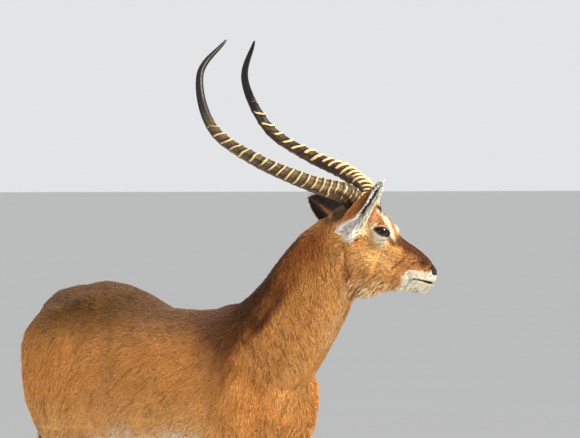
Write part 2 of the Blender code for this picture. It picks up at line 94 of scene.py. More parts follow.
def hump(*parts):
    """A bell over distances, each given as a pair of offset and reach."""
    return np.exp(-sum((offset / reach) ** 2 for offset, reach in parts))


def column(values):
    """One value for each point, to multiply vectors by."""
    return values[:, None]


def laid_flat(ways, normals):
    """Ways turned to run along a surface."""
    return unit(ways - column((ways * normals).sum(1)) * normals + 1e-9)


# ---- objects and meshes

def made_object(name, data):
    obj = bpy.data.objects.new(name, data)
    bpy.context.scene.collection.objects.link(obj)
    return obj


def only(obj, *others):
    """Selects these and nothing else; the first one is active."""
    bpy.ops.object.select_all(action="DESELECT")
    for each in (obj, *others):
        each.select_set(True)
    bpy.context.view_layer.objects.active = obj


def named(name):
    """Names the active object and its mesh."""
    obj = bpy.context.active_object
    obj.name = obj.data.name = name
    return obj


def primitive(name, operator, **settings):
    """A primitive of Blender's, to be shaped."""
    bpy.ops.object.select_all(action="DESELECT")
    operator(**settings)
    return named(name)


def ball(name, middle, radius):
    add = bpy.ops.mesh.primitive_uv_sphere_add
    return primitive(name, add, segments=24, ring_count=16, radius=radius, location=tuple(middle))


def joined(pieces, name):
    only(*pieces)
    bpy.ops.object.join()
    return named(name)


def edited(obj, operator, **settings):
    """Runs an operator of edit mode on the whole object."""
    only(obj)
    bpy.ops.object.mode_set(mode="EDIT")
    bpy.ops.mesh.select_all(action="SELECT")
    operator(**settings)
    bpy.ops.object.mode_set(mode="OBJECT")


def faced_out(obj):
    edited(obj, bpy.ops.mesh.normals_make_consistent, inside=False)


def smoothed(obj):
    only(obj)
    bpy.ops.object.shade_smooth()
    return obj


def apply_modifier(obj, kind, **settings):
    only(obj)
    added = obj.modifiers.new(kind.lower(), kind)
    for key, value in settings.items():
        setattr(added, key, value)
    bpy.ops.object.modifier_apply(modifier=added.name)


def rows_of(elements, field, width, kind):
    """A field of all of a mesh's points, edges or triangles, a row for each."""
    flat = np.empty(len(elements) * width, kind)
    elements.foreach_get(field, flat)
    return flat.reshape(-1, width)


def points_of(mesh):
    return rows_of(mesh.vertices, "co", 3, np.float32).astype(float)


def normals_of(mesh):
    return rows_of(mesh.vertices, "normal", 3, np.float32).astype(float)


def edges_of(mesh):
    return rows_of(mesh.edges, "vertices", 2, np.int32)


def triangles_of(mesh):
    mesh.calc_loop_triangles()
    return rows_of(mesh.loop_triangles, "vertices", 3, np.int32)


def move_points(mesh, points):
    mesh.vertices.foreach_set("co", points.astype(np.float32).ravel())
    mesh.update()


def relax(points, edges, rounds, weight=1.0):
    """Evens out a surface, pushing back after each step so that it keeps its size."""
    total = len(points)
    ends = np.concatenate([edges[:, 0], edges[:, 1]])
    others = np.concatenate([edges[:, 1], edges[:, 0]])
    count = np.maximum(np.bincount(ends, minlength=total), 1)
    weight = np.broadcast_to(weight, total)
    for step in (0.5, -0.52) * rounds:
        near = [np.bincount(ends, points[others, k], total) / count for k in range(3)]
        points = points + column(step * weight) * (np.stack(near, 1) - points)
    return points


def paint(mesh, name, values):
    """Stores one value, or one colour, for each point."""
    if values.ndim == 2:
        layer = mesh.attributes.new(name, "FLOAT_COLOR", "POINT")
        values = np.concatenate([values, np.ones((len(values), 1))], 1)
        layer.data.foreach_set("color", values.astype(np.float32).ravel())
    else:
        layer = mesh.attributes.new(name, "FLOAT", "POINT")
        layer.data.foreach_set("value", values.astype(np.float32))


def painted(mesh, name):
    """The values that paint stored."""
    return rows_of(mesh.attributes[name].data, "value", 1, np.float32)[:, 0].astype(float)


def tone(red, green, blue):
    """A display colour, 0 to 255, as the linear light that shading works in."""
    c = np.array([red, green, blue]) / 255.0
    return np.where(c <= 0.04045, c / 12.92, ((c + 0.055) / 1.055) ** 2.4)


def mix(first, second, share):
    return first + (second - first) * np.asarray(share)[..., None]


SPECKLE_VALUES, SPECKLE_KEYS = 4096, np.array([73856093, 19349663, 83492791])


def speckle(points, size, seed):
    """Smooth noise between 0 and 1 with features of about one size."""
    table = np.random.default_rng(seed).random(SPECKLE_VALUES)
    scaled = points / size
    low = np.floor(scaled).astype(np.int64)
    part = scaled - low
    part = part * part * (3 - 2 * part)
    total = np.zeros(len(points))
    for corner in np.ndindex(2, 2, 2):
        keys = (low + corner) * SPECKLE_KEYS
        spot = keys[:, 0] ^ keys[:, 1] ^ keys[:, 2]
        total += table[spot % SPECKLE_VALUES] * np.abs(part - 1 + corner).prod(axis=1)
    return total


# ---- shader helpers

class Value:
    """A shader socket that Python arithmetic can use."""

    def __init__(self, finish, socket):
        self.finish, self.socket = finish, socket

    def maths(self, operation, first, second):
        return self.finish.node("ShaderNodeMath", {"operation": operation}, {0: first, 1: second})

    def __add__(self, other):
        return self.maths("ADD", self, other)

    def __sub__(self, other):
        return self.maths("SUBTRACT", self, other)

    def __rsub__(self, other):
        return self.maths("SUBTRACT", other, self)

    def __mul__(self, other):
        return self.maths("MULTIPLY", self, other)

    def eased(self, start, end):
        settings = {"interpolation_type": "SMOOTHSTEP"}
        inputs = {"Value": self, "From Min": start, "From Max": end}
        return self.finish.node("ShaderNodeMapRange", settings, inputs)


class Finish:
    """A material in the making. An array is a colour, and a Value is a link."""

    def __init__(self, name, **uniform):
        self.material = bpy.data.materials.new(name)
        self.material.use_nodes = True
        self.tree = self.material.node_tree
        self.shader = self.tree.nodes["Principled BSDF"]
        for socket, value in uniform.items():
            self.shader.inputs[socket.replace("_", " ")].default_value = value

    def node(self, kind, settings, inputs, output=0):
        made = self.tree.nodes.new(kind)
        for key, value in settings.items():
            setattr(made, key, value)
        for key, value in inputs.items():
            if isinstance(value, Value):
                self.tree.links.new(value.socket, made.inputs[key])
            elif isinstance(value, np.ndarray):
                made.inputs[key].default_value = (*value.tolist(), 1.0)
            else:
                made.inputs[key].default_value = value
        return Value(self, made.outputs[output])

    def stored(self, name, colour=False):
        """What paint stored; the node gives a colour, a vector and then a plain value."""
        settings = {"attribute_name": name}
        return self.node("ShaderNodeAttribute", settings, {}, output=0 if colour else 2)

    def noise(self, scale, detail, stretch=(1, 1, 1)):
        """Noise over the object's own coordinates, which stretch multiplies."""
        spot = self.node("ShaderNodeTexCoord", {}, {}, output=3)
        spot = self.node("ShaderNodeMapping", {}, {"Vector": spot, "Scale": stretch})
        inputs = {"Vector": spot, "Scale": scale, "Detail": detail, "Roughness": 0.55}
        return self.node("ShaderNodeTexNoise", {}, inputs)

    def blend(self, first, second, factor):
        """A mix of two colours. The node has sockets for each kind of data; 6 and 7 are colours."""
        inputs = {0: factor, 6: first, 7: second}
        return self.node("ShaderNodeMix", {"data_type": "RGBA"}, inputs, output=2)

    def bump(self, height, strength, distance):
        inputs = {"Strength": strength, "Distance": distance, "Height": height}
        return self.node("ShaderNodeBump", {}, inputs)

    def feed(self, **sockets):
        for name, value in sockets.items():
            self.tree.links.new(value.socket, self.shader.inputs[name.replace("_", " ")])
        return self.material


# ---- where things lie on the animal

THROAT_POINT, THROAT_WAY = at_head(-0.125, -0.030, 0.0), 0.983 * HEADING + 0.188 * UP
NECK_FOOT = np.array([0, -0.030, 0.990])        # from the floor below the withers
NECK_WAY, NAPE_WAY = np.array([0, -0.852, 0.524]), np.array([0, 0.524, 0.852])
EYE_SLANT = 0.934 * HEADING - 0.358 * UP
EYE_LOOK, EYE_ALONG, EYE_OVER = {}, {}, {}
for side in (1, -1):
    look = unit(0.94 * side * LEFT + 0.28 * SKULL + 0.16 * CROWN)
    EYE_LOOK[side], EYE_ALONG[side] = look, unit(EYE_SLANT - (EYE_SLANT @ look) * look)
    EYE_OVER[side] = side * np.cross(EYE_ALONG[side], look)
LID_FORE, LID_REAR, LID_UPPER, LID_LOWER = 0.0190, 0.0175, 0.0112, 0.0098
LID_CORNER = 1.65                # 2 would make the opening an oval; less draws its corners out
LID_THICK, LID_REACH = 0.0024, 2.1              # the reach is a spread, as eye_spread gives it
FAR_FROM_EYE = 9.0
MOUTH_FRONT, MOUTH_CORNER = (0.170, -0.0640), (0.111, -0.080)      # along and over on the skull


class Regions:
    """Soft masks, 0 to 1, of where each point of a surface lies."""

    def __init__(self, points, normals):
        self.points, self.normals = points, normals
        rel = points - BROW
        self.along, self.over, self.aside = rel @ SKULL, rel @ CROWN, rel @ LEFT
        self.ahead, self.above, self.out = rel @ HEADING, rel @ UP, np.abs(self.aside)
        self.x, self.y, self.z = (points - WITHERS).T
        self.wide = np.abs(self.x)
        self.head = ease((points - THROAT_POINT) @ THROAT_WAY, -0.012, 0.012)
        self.up_neck = (points - WITHERS - NECK_FOOT) @ NECK_WAY
        self.neck = ease(self.up_neck, -0.03, 0.03) * (1 - self.head)
        self.tail = ease(self.y, 0.895, 0.915) * ease(self.z, 1.0, 0.97)
        legs = ease(self.z, 0.60, 0.50) * (1 - self.tail)
        rear = ease(self.z, 0.72, 0.60) * ease(self.y, 0.45, 0.55) * (1 - self.tail)
        self.leg = np.maximum(legs, rear) * (1 - self.head) * (1 - self.neck)
        self.hind = ease(self.y, 0.30, 0.45)
        self.trunk = (1 - self.head) * (1 - self.neck) * (1 - self.leg) * (1 - self.tail)
        self.jaw = self.head * ease(self.over, -0.105, -0.150) * ease(self.along, 0.100, 0.060)
        self.jaw *= ease(self.along, -0.125, -0.080)
        self.down = ease(normals[:, 2], -0.25, -0.80)

    def eased(self, **spans):
        """The product of eases over the places named, each given as its start and end."""
        return np.prod([ease(getattr(self, place), *span) for place, span in spans.items()], axis=0)

    def eye_spread(self, side):
        """1 on the lids' edge, less inside, more outside; big away from that eye."""
        rel = self.points - EYES[side]
        reach = np.linalg.norm(rel, axis=1)
        rel = rel / np.maximum(reach, 1e-6)[:, None] * EYE_RADIUS
        out, along, over = rel @ EYE_LOOK[side], rel @ EYE_ALONG[side], rel @ EYE_OVER[side]
        wide = np.where(along > 0, LID_FORE, LID_REAR)
        high = np.where(over > 0, LID_UPPER, LID_LOWER)
        spread = np.abs(along / wide) ** LID_CORNER + np.abs(over / high) ** LID_CORNER
        spread = spread ** (1 / LID_CORNER)
        far = (out < 0.0) | (reach > 2.6 * EYE_RADIUS)
        return np.where(far, FAR_FROM_EYE, spread), reach, along, over

    def lid_spread(self):
        """The spread from the nearer eye."""
        return np.minimum(self.eye_spread(1)[0], self.eye_spread(-1)[0])

    def mouth_gap(self):
        """Signed height above the line of the lips, and a mask along that line."""
        slope = (MOUTH_FRONT[1] - MOUTH_CORNER[1]) / (MOUTH_FRONT[0] - MOUTH_CORNER[0])
        line = MOUTH_CORNER[1] + slope * (self.along - MOUTH_CORNER[0])
        line = line + 0.0015 * np.sin((self.along - MOUTH_CORNER[0]) * 90)
        lips = ease(self.along, MOUTH_CORNER[0] - 0.002, MOUTH_CORNER[0] + 0.006)
        return self.over - line, self.head * lips * (self.along > 0.09)

    def nostril(self):
        """1 in the middle of either nostril's slit, fading to 0 past its rim."""
        along, over = self.along - 0.1470, self.over + 0.0325
        turned = 0.80 * along + 0.60 * over
        across = -0.60 * along + 0.80 * over + 18.0 * turned**2
        inside = 1 - np.sqrt((turned / 0.0085) ** 2 + (across / 0.0034) ** 2)
        return ease(inside, -0.15, 0.55) * ease(self.out, 0.006, 0.011) * (self.along > 0.13)

    def bare_nose(self):
        """1 on the bare black skin round the nostrils."""
        front = 0.813 * self.along + 0.582 * self.over
        nose = ease(front, 0.0965, 0.0995) * ease(self.over, -0.052, -0.047)
        return nose * ease(self.out, 0.027, 0.023) * self.head * (self.along > 0.12)

    def jaw_crease(self, behind):
        """Distance before the crease from the ear to the throat, set back by an amount."""
        return self.ahead + behind + 0.10 * (self.above + 0.08)


def regions_of(mesh):
    return Regions(points_of(mesh), normals_of(mesh))


# ---- skin

SKIN_VOXEL = 0.0070
HORN_SOCKET, HORN_PLUG = (-0.063, 0.050, 0.036), 0.023      # ahead, above, aside; the ball's radius


def fused_flesh():
    """Copies of the flesh nodes and plugs for the sockets, fused into one even surface."""
    pieces = [ball("plug", EYES[side], EYE_RADIUS + 0.0005) for side in (1, -1)]
    ahead, above, aside = HORN_SOCKET
    pieces += [ball("plug", at_head(ahead, above, side * aside), HORN_PLUG) for side in (1, -1)]
    for name in FLESH:
        pieces.append(made_object("flesh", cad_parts[name].data.copy()))
    skin = joined(pieces, "skin")
    bpy.ops.object.transform_apply(location=True, rotation=True, scale=True)
    edited(skin, bpy.ops.mesh.remove_doubles, threshold=1e-5)
    apply_modifier(skin, "REMESH", mode="VOXEL", voxel_size=SKIN_VOXEL)
    skin.data.materials.clear()
    return skin


def refine(obj, wanted, cuts):
    """Subdivides the faces whose points are all wanted."""
    only(obj)
    bpy.ops.object.mode_set(mode="EDIT")
    bpy.ops.mesh.select_mode(type="FACE")
    bpy.ops.mesh.select_all(action="DESELECT")
    bpy.ops.object.mode_set(mode="OBJECT")
    for polygon in obj.data.polygons:
        polygon.select = all(wanted[i] for i in polygon.vertices)
    bpy.ops.object.mode_set(mode="EDIT")
    bpy.ops.mesh.subdivide(number_cuts=cuts, smoothness=0.0)
    bpy.ops.object.mode_set(mode="OBJECT")


# Bells pushed out of, or with a minus pressed into, the head: along, over and out on the skull,
# the reach each way, and the amount.
HEAD_FORMS = (
    (-0.006, 0.024, 0.050, 0.022, 0.009, 0.016, 0.0035),     # ridge above the eye
    (-0.046, 0.008, 0.050, 0.018, 0.016, 0.025, -0.0050),    # hollow of the temple
    (-0.040, -0.026, 0.055, 0.034, 0.008, 0.025, 0.0025),    # cheek arch
    (0.030, -0.036, 0.046, 0.030, 0.008, 0.025, 0.0028),     # crest below the eye
    (0.062, -0.066, 0.035, 0.030, 0.016, 0.025, -0.0040),    # hollow of the cheek
    (0.056, -0.020, 0.034, 0.030, 0.012, 0.020, -0.0035),    # hollow beside the nose
    (-0.020, -0.088, 0.050, 0.030, 0.036, 0.035, 0.0045),    # chewing muscle
    (0.016, -0.094, 0.045, 0.009, 0.034, 0.035, -0.0030),    # its fore edge
    (0.146, -0.034, 0.022, 0.014, 0.010, 0.012, 0.0020),     # wing of the nostril
    (0.128, -0.064, 0.024, 0.030, 0.009, 0.018, 0.0022),     # upper lip
    (0.124, -0.088, 0.020, 0.028, 0.008, 0.018, 0.0012),     # lower lip
    (0.090, -0.010, 0.000, 0.045, 0.014, 0.010, 0.0015),     # bridge of the nose
    (-0.012, 0.032, 0.000, 0.024, 0.026, 0.030, 0.0070),     # dome of the forehead
    (0.010, 0.012, 0.000, 0.022, 0.020, 0.026, 0.0040),      # between the eyes
)
# Folds and ridges: two ends out, along and over on the skull, reach, amount.
HEAD_FOLDS = (
    (0.036, 0.060, -0.070, 0.036, 0.076, -0.036, 0.0028, 0.0012),    # vein on the muzzle
    (0.056, 0.018, -0.020, 0.050, 0.040, -0.030, 0.0040, -0.0014),   # before the eye
    (0.060, -0.030, -0.018, 0.056, 0.010, -0.024, 0.0030, -0.0010),  # below the lower lid
    (0.030, 0.108, -0.078, 0.034, 0.094, -0.070, 0.0040, -0.0015),   # at the mouth's corner
)
# The same for the body: two ends sideways, backwards and upwards, reach, amount.
BODY_FORMS = (
    (0.100, -0.020, 0.920, 0.126, -0.090, 0.770, 0.020, 0.0045),     # shoulder blade
    (0.146, 0.090, 0.900, 0.150, 0.060, 0.730, 0.026, -0.0050),      # behind the shoulder
    (0.115, -0.050, 0.720, 0.118, -0.020, 0.660, 0.026, 0.0050),     # upper arm
    (0.118, 0.020, 0.620, 0.112, 0.022, 0.590, 0.020, 0.0050),       # elbow
    (0.140, 0.500, 0.930, 0.155, 0.490, 0.800, 0.036, -0.0100),      # flank
    (0.088, 0.600, 1.010, 0.092, 0.625, 0.990, 0.024, 0.0050),       # point of the hip
    (0.120, 0.775, 0.920, 0.112, 0.760, 0.690, 0.012, -0.0040),      # between thigh muscles
    (0.118, 0.560, 0.720, 0.135, 0.480, 0.650, 0.016, 0.0060),       # fold to the stifle
    (0.098, 0.790, 0.520, 0.097, 0.862, 0.420, 0.010, 0.0040),       # heel tendon
    (0.115, 0.770, 0.500, 0.112, 0.822, 0.430, 0.009, -0.0050),      # hollow before it
    (0.112, -0.002, 0.285, 0.112, 0.002, 0.150, 0.006, -0.0025),     # fore cannon's groove
    (0.116, 0.822, 0.285, 0.116, 0.814, 0.160, 0.006, -0.0025),      # hind cannon's groove
    (0.090, -0.040, 0.350, 0.090, -0.042, 0.315, 0.014, 0.0020),     # knee
    (0.055, -0.350, 1.000, 0.080, -0.130, 0.790, 0.014, -0.0055),    # groove of the neck
    (0.062, -0.300, 1.040, 0.092, -0.080, 0.850, 0.020, 0.0040),     # muscle above it
    (0.000, -0.190, 0.800, 0.000, -0.175, 0.700, 0.020, -0.0050),    # between the breast's halves
)
RIBS, FIRST_RIB, RIB_STEP = 7, 0.150, 0.046


def off_line(places, start, end):
    """Distance of each point from a line between two points."""
    places = np.stack(places, 1)
    start, end = np.array(start), np.array(end)
    run = end - start
    share = np.clip((places - start) @ run / (run @ run), 0, 1)
    return np.linalg.norm(places - start - column(share) * run, axis=1)


def muscles(points, normals):
    """How far each point moves out for muscles, folds and hollows."""
    where = Regions(points, normals)
    on_skull = where.along, where.over, where.out
    moved = np.zeros(len(points))
    for form in HEAD_FORMS:
        gaps = [place - middle for place, middle in zip(on_skull, form[:3])]
        moved += where.head * form[6] * hump(*zip(gaps, form[3:6]))
    for *line, reach, amount in HEAD_FOLDS:
        away = off_line((where.out, where.along, where.over), line[:3], line[3:])
        moved += where.head * amount * hump((away, reach))
    for *line, reach, amount in BODY_FORMS:
        away = off_line((where.wide, where.y, where.z), line[:3], line[3:])
        moved += (1 - where.head) * amount * hump((away, reach))
    for rib in range(RIBS):
        back = FIRST_RIB + RIB_STEP * rib
        line = (0.15, back, 0.90), (0.15, back + 0.05, 0.70)
        away = off_line((where.wide, where.y, where.z), *line)
        moved += where.trunk * 0.0012 * hump((away, 0.012))
    crease = where.jaw_crease(0.096)
    reach = ease(where.above, -0.015, -0.035) * ease(where.above, -0.165, -0.135)
    moved -= 0.0050 * reach * hump((crease, 0.008)) * ease(where.out, 0.02, 0.04)
    moved += 0.0025 * reach * hump((crease + 0.018, 0.010)) * ease(where.out, 0.02, 0.04)
    return moved


def coat_depth(where):
    """How far the skin lies below the tips of the coat."""
    depth = 0.0038 * where.trunk + 0.0018 * where.head + 0.0050 * where.neck
    depth += 0.0020 * where.leg + 0.0035 * where.tail
    depth += 0.0090 * where.jaw + 0.0020 * where.trunk * where.down
    depth += 0.0060 * where.tail * ease(where.z, 0.70, 0.62)
    bare = where.head * ease(where.along, 0.135, 0.158)
    top = where.head * where.eased(over=(0.030, 0.045), along=(0.02, -0.02))
    return depth * (1 - 0.8 * bare) + 0.002 * top


def on_eyeball(side, along, over, least=1e-8):
    """The way from an eye's middle to the place on the ball that shows this far from its middle."""
    flat = column(along) * EYE_ALONG[side] + column(over) * EYE_OVER[side]
    height = np.sqrt(np.maximum(EYE_RADIUS**2 - (flat**2).sum(1), least))
    return unit(flat + column(height) * EYE_LOOK[side])


def shape_lids(points, where):
    """Draws the skin over the eyeballs as lids, open in front of them."""
    for side in (1, -1):
        spread, reach, along, over = where.eye_spread(side)
        near = spread < FAR_FROM_EYE - 1
        toward = (points - EYES[side]) / column(np.maximum(reach, 1e-6))
        # Points close to the lids' edge slide onto it, so that the edge runs true.
        snap = near & (spread > 0.86) & (spread < 1.10)
        edge = on_eyeball(side, along / spread, over / spread)
        toward = np.where(column(snap), edge, toward)
        spread = np.where(snap, 1.0, spread)
        lid = EYE_RADIUS + LID_THICK + 0.0012 * hump((spread - 1.22, 0.14))
        lid += 0.0012 * hump((spread - 1.55, 0.12)) * (over > 0)
        hug = ease(spread, LID_REACH, 1.35)
        outer = (1 - hug) * np.minimum(reach, lid + 0.012) + hug * lid
        inner = EYE_RADIUS - 0.004 * ease(spread, 1.0, 0.80)
        wanted = np.where(spread < 0.999, inner, outer)
        wanted = np.where(spread > LID_REACH, reach, wanted)
        points = np.where(column(near), EYES[side] + toward * column(wanted), points)
    return points


def open_muzzle(points, normals):
    """Presses the mouth, the nostrils and the slit between them into the skin."""
    where = Regions(points, normals)
    gap, lips = where.mouth_gap()
    width = 0.0016 + 0.0026 * ease(where.along, 0.125, 0.160)
    pressed = 0.0070 * lips * hump((gap, width))
    pressed -= 0.0012 * lips * (hump((gap - 0.0045, 0.003)) + hump((gap + 0.0045, 0.003)))
    pressed += 0.0095 * where.nostril()
    slit = hump((where.aside, 0.0012)) * ease(where.along, 0.150, 0.158)
    pressed += 0.0018 * slit * (where.over > -0.062) * (where.over < -0.036)
    return points - column(pressed) * normals


def make_skin():
    skin = fused_flesh()
    mesh = skin.data
    move_points(mesh, relax(points_of(mesh), edges_of(mesh), 6))
    refine(skin, regions_of(mesh).head > 0.02, 2)
    where = regions_of(mesh)
    near_eye = [np.linalg.norm(where.points - EYES[side], axis=1) < 0.034 for side in (1, -1)]
    refine(skin, near_eye[0] | near_eye[1] | (where.along > 0.098) & (where.head > 0.5), 1)
    edges = edges_of(mesh)
    where = regions_of(mesh)
    points = relax(where.points, edges, 10, ease(where.head, 0.0, 0.2))
    move_points(mesh, points)
    normals = normals_of(mesh)
    points = points - column(coat_depth(Regions(points, normals))) * normals
    points = relax(points, edges, 3, 0.8)
    move_points(mesh, points)
    normals = normals_of(mesh)
    points = points + column(muscles(points, normals)) * normals
    move_points(mesh, points)
    points = shape_lids(points, Regions(points, normals_of(mesh)))
    move_points(mesh, points)
    move_points(mesh, open_muzzle(points, normals_of(mesh)))
    return smoothed(skin)


# ---- the markings of skin and coat, and the shade painted into them

CHESTNUT, TAN, CREAM, WHITE = (
    tone(195, 133, 69), tone(208, 160, 98), tone(212, 190, 148), tone(210, 204, 184)
)
# The last of these browns is painted shade, for the nape and for the withers.
BACK_BROWN, NAPE_RED, NAPE_SHADE_BROWN = tone(88, 58, 26), tone(138, 74, 34), tone(66, 42, 20)
HEAD_TAN, CHEEK_TAN, JAW_BROWN = tone(188, 138, 80), tone(196, 154, 98), tone(176, 112, 58)
MUZZLE_TAN, MUZZLE_BROWN, VEIN_BROWN = tone(162, 106, 60), tone(72, 38, 20), tone(84, 46, 24)
FOREHEAD_RED, CREASE_BROWN, SMEAR_BROWN = tone(160, 98, 52), tone(120, 66, 34), tone(84, 50, 30)
LEG_BROWN, NEAR_BLACK, BLACK_SKIN = tone(166, 98, 52), tone(34, 26, 22), tone(18, 15, 14)

EYE_STREAK = (                   # the white stripe over the brow: ahead and above
    (-0.0220, 0.0600), (-0.0145, 0.0477), (0.0002, 0.0280), (0.0069, 0.0050), (0.0235, -0.0240)
)
BELLY_HEIGHT, BREAST_DROP = 0.655, 0.07          # where white begins below, and lower in front


def within(gap, half, soft):
    """1 inside a band, 0 outside, with soft edges."""
    return ease(np.abs(gap), half + soft, half - soft)


class MarkingsAndShade:
    """Colours laid over each other at each point of a surface, from the coat's ground colour:
    markings, and painted shade on the withers, the nape and the poll.
    """

    def __init__(self, points, normals):
        self.where = Regions(points, normals)
        self.patchy = speckle(points, 0.045, 5) - 0.5
        self.fine = speckle(points, 0.012, 6) - 0.5
        self.colour = np.tile(CHESTNUT, (len(points), 1))
        self.trunk()
        self.neck()
        self.head()
        self.white_of_face()
        self.bare_parts()
        self.legs_and_tail()
        mottle = 1 + 0.24 * self.patchy + (0.22 - 0.14 * self.where.head) * self.fine
        self.colour = np.clip(self.colour * column(mottle), 0.002, 0.9)

    def lay(self, colour, share):
        self.colour = mix(self.colour, colour, share)

    def trunk(self):
        """Brown back, chestnut flank, white belly, breast and rump, and a painted shadow of the
        neck over the withers.
        """
        where, rough_z = self.where, self.where.z + 0.03 * self.patchy
        high = ease(rough_z, 0.84, 0.98)
        self.lay(BACK_BROWN, 0.92 * high * (1 - where.head) * (1 - where.neck))
        # Painted shadow: the back before the withers goes dark brown, as if shaded by the neck.
        withers = ease(where.y, 0.24, 0.00) * ease(rough_z, 0.87, 0.96)
        self.lay(NAPE_SHADE_BROWN, 0.85 * withers * where.trunk)
        breast = ease(where.y, 0.02, -0.08)
        low = BELLY_HEIGHT - BREAST_DROP * breast
        belly = ease(where.z + 0.05 * self.patchy, low + 0.020, low - 0.060) * where.trunk
        belly *= ease(where.normals[:, 2], 0.15 - 0.5 * breast, -0.35 - 0.4 * breast)
        flank = where.trunk + where.leg * ease(where.z, 0.40, 0.62)
        self.lay(TAN, 0.6 * flank * ease(where.z, low + 0.12, low))
        self.lay(WHITE, belly)
        rump = where.eased(wide=(0.070, 0.045), y=(0.84, 0.88))
        rump *= ease(where.z, 0.93, 0.90)
        self.lay(WHITE, rump * (1 - where.tail) * (where.z > 0.55))

    def neck(self):
        """Painted shade towards the nape, where the crest turns away from the light; paler towards
        the throat.
        """
        where = self.where
        crest = where.normals @ NAPE_WAY
        lower = ease(where.z, 1.15, 0.98)
        bent = crest + 0.25 * self.patchy + 0.15 * self.fine
        below_poll = ease(where.z, 1.22, 1.14)
        red = ease(bent, -0.16, 0.28) * below_poll
        # Painted shade: where the surface turns up and back over the crest, away from the light, it
        # goes dark brown, and further round low on the neck.
        dark = ease(bent, 0.34 - 0.34 * lower, 0.72 - 0.38 * lower) * below_poll
        self.lay(TAN, 0.45 * where.neck * ease(crest, 0.1, -0.7))
        blended = ease(where.up_neck, -0.22, 0.03) * (1 - where.head)
        self.lay(NAPE_RED, 0.85 * blended * red)
        self.lay(NAPE_SHADE_BROWN, 0.92 * blended * dark)
        throat = where.neck * ease(where.normals @ np.array([0.10, -0.85, -0.5]), 0.86, 0.98)
        self.lay(CREAM, 0.30 * throat * ease(where.z, 0.84, 0.92))

    def head(self):
        """Tan cheeks, dark bridge of the nose, cream before the ear, and a painted shadow on the
        poll behind the horns.
        """
        where = self.where
        head, side_on = where.head, (where.along, where.over)
        self.lay(HEAD_TAN, 0.85 * head)
        cheek = hump((where.along - 0.010, 0.050), (where.over + 0.055, 0.034))
        self.lay(CHEEK_TAN, 0.75 * head * cheek)
        before_ear = off_line(side_on, (-0.034, 0.012), (-0.080, -0.040))
        self.lay(CREAM, 0.90 * head * ease(before_ear, 0.026, 0.008))
        lower = where.eased(over=(-0.085, -0.130), along=(0.090, 0.050))
        self.lay(JAW_BROWN, 0.7 * head * lower)
        self.lay(MUZZLE_TAN, 0.75 * head * ease(where.along, 0.050, 0.085))
        edge = -0.016 - 0.19 * np.clip(where.along - 0.040, 0, 1) + 0.010 * self.fine
        bridge = ease(where.over, edge - 0.013, edge + 0.005) * ease(where.along, 0.022, 0.046)
        self.lay(MUZZLE_BROWN, 0.92 * head * bridge)
        forehead = where.eased(over=(0.004, 0.020), along=(0.030, 0.005))
        self.lay(FOREHEAD_RED, 0.85 * head * forehead)
        streak = where.eased(over=(0.030, 0.046), out=(0.034, 0.018))
        self.lay(NEAR_BLACK, 0.65 * head * streak * (speckle(where.points, 0.006, 7) > 0.45))
        # Painted shadow: the poll behind the horns' bases goes near black, as if shaded by the
        # horns.
        poll = where.eased(ahead=(-0.072, -0.090), above=(0.018, 0.040))
        self.lay(NEAR_BLACK, 0.85 * poll * np.maximum(head, where.neck))
        crease = within(where.jaw_crease(0.100), 0.003, 0.006) * head
        crease *= ease(where.above, -0.005, -0.03) * (where.above > -0.17)
        self.lay(CREASE_BROWN, 0.25 * crease)
        vein = off_line(side_on, (0.058, -0.072), (0.078, -0.036))
        self.lay(VEIN_BROWN, 0.70 * head * ease(vein, 0.0040, 0.0014) * (where.out > 0.02))

    def white_of_face(self):
        """White lips and chin, a stripe over the brow, and rings round the eyes."""
        where, head = self.where, self.where.head
        rough_edge = 0.024 * (speckle(where.points * (1, 1, 0.6), 0.007, 8) - 0.5)
        behind = 0.0811 + 0.157 * (where.over + 0.1393) + rough_edge
        chin = ease(where.along - behind, -0.006, 0.010)
        lip_line = -0.0600 + 0.29 * (where.along - 0.0934) + 0.3 * rough_edge
        chin *= ease(where.over - lip_line, 0.0035, -0.0035)
        below = ease(where.normals @ CROWN, -0.90, -0.985) * ease(where.out, 0.030, 0.018)
        below *= ease(where.along, -0.10, -0.06) * (where.over < -0.08)
        self.lay(WHITE, 0.95 * head * np.maximum(chin, below))
        for side in (1, -1):
            rel = where.points - EYES[side]
            along, over, outward = (rel @ way[side] for way in (EYE_ALONG, EYE_OVER, EYE_LOOK))
            along += 0.40 * np.minimum(over, 0)
            broad = np.where(along > 0, 0.0205, 0.0270)
            high = np.where(over > 0, 0.0148, 0.0265)
            patch = np.hypot(along / broad, over / high) + 0.30 * self.fine
            ring = ease(patch, 1.14, 0.82) * (outward > -0.015) * head
            ring *= 1 - ease(along, 0.010, 0.017) * ease(over, -0.004, 0.004)
            under = ease(over, 0.004, -0.006)
            self.lay(CREAM, 0.45 * ease(patch, 1.9, 0.9) * under * (outward > -0.03) * head)
            self.lay(mix(CREAM[None], WHITE, 0.5 + 0.5 * under), 0.94 * ring)
        slant = (where.ahead - 0.25 * where.out, where.above)
        before = ease(off_line(slant, (0.0040, -0.0120), (0.0178, -0.0349)), 0.0075, 0.0020)
        self.lay(SMEAR_BROWN, 0.75 * head * before * (where.out > 0.025))
        bends = zip(EYE_STREAK, EYE_STREAK[1:])
        away = np.min([off_line(slant, start, end) for start, end in bends], axis=0)
        half = 0.0070 - 0.0042 * ease(where.above, 0.002, -0.024) + 0.0014 * self.fine
        stripe = ease(away, half + 0.0012, half - 0.0012) * ease(where.out, 0.004, 0.009)
        stripe *= where.eased(out=(0.052, 0.046), above=(0.066, 0.056))
        self.lay(WHITE, 0.95 * head * stripe)

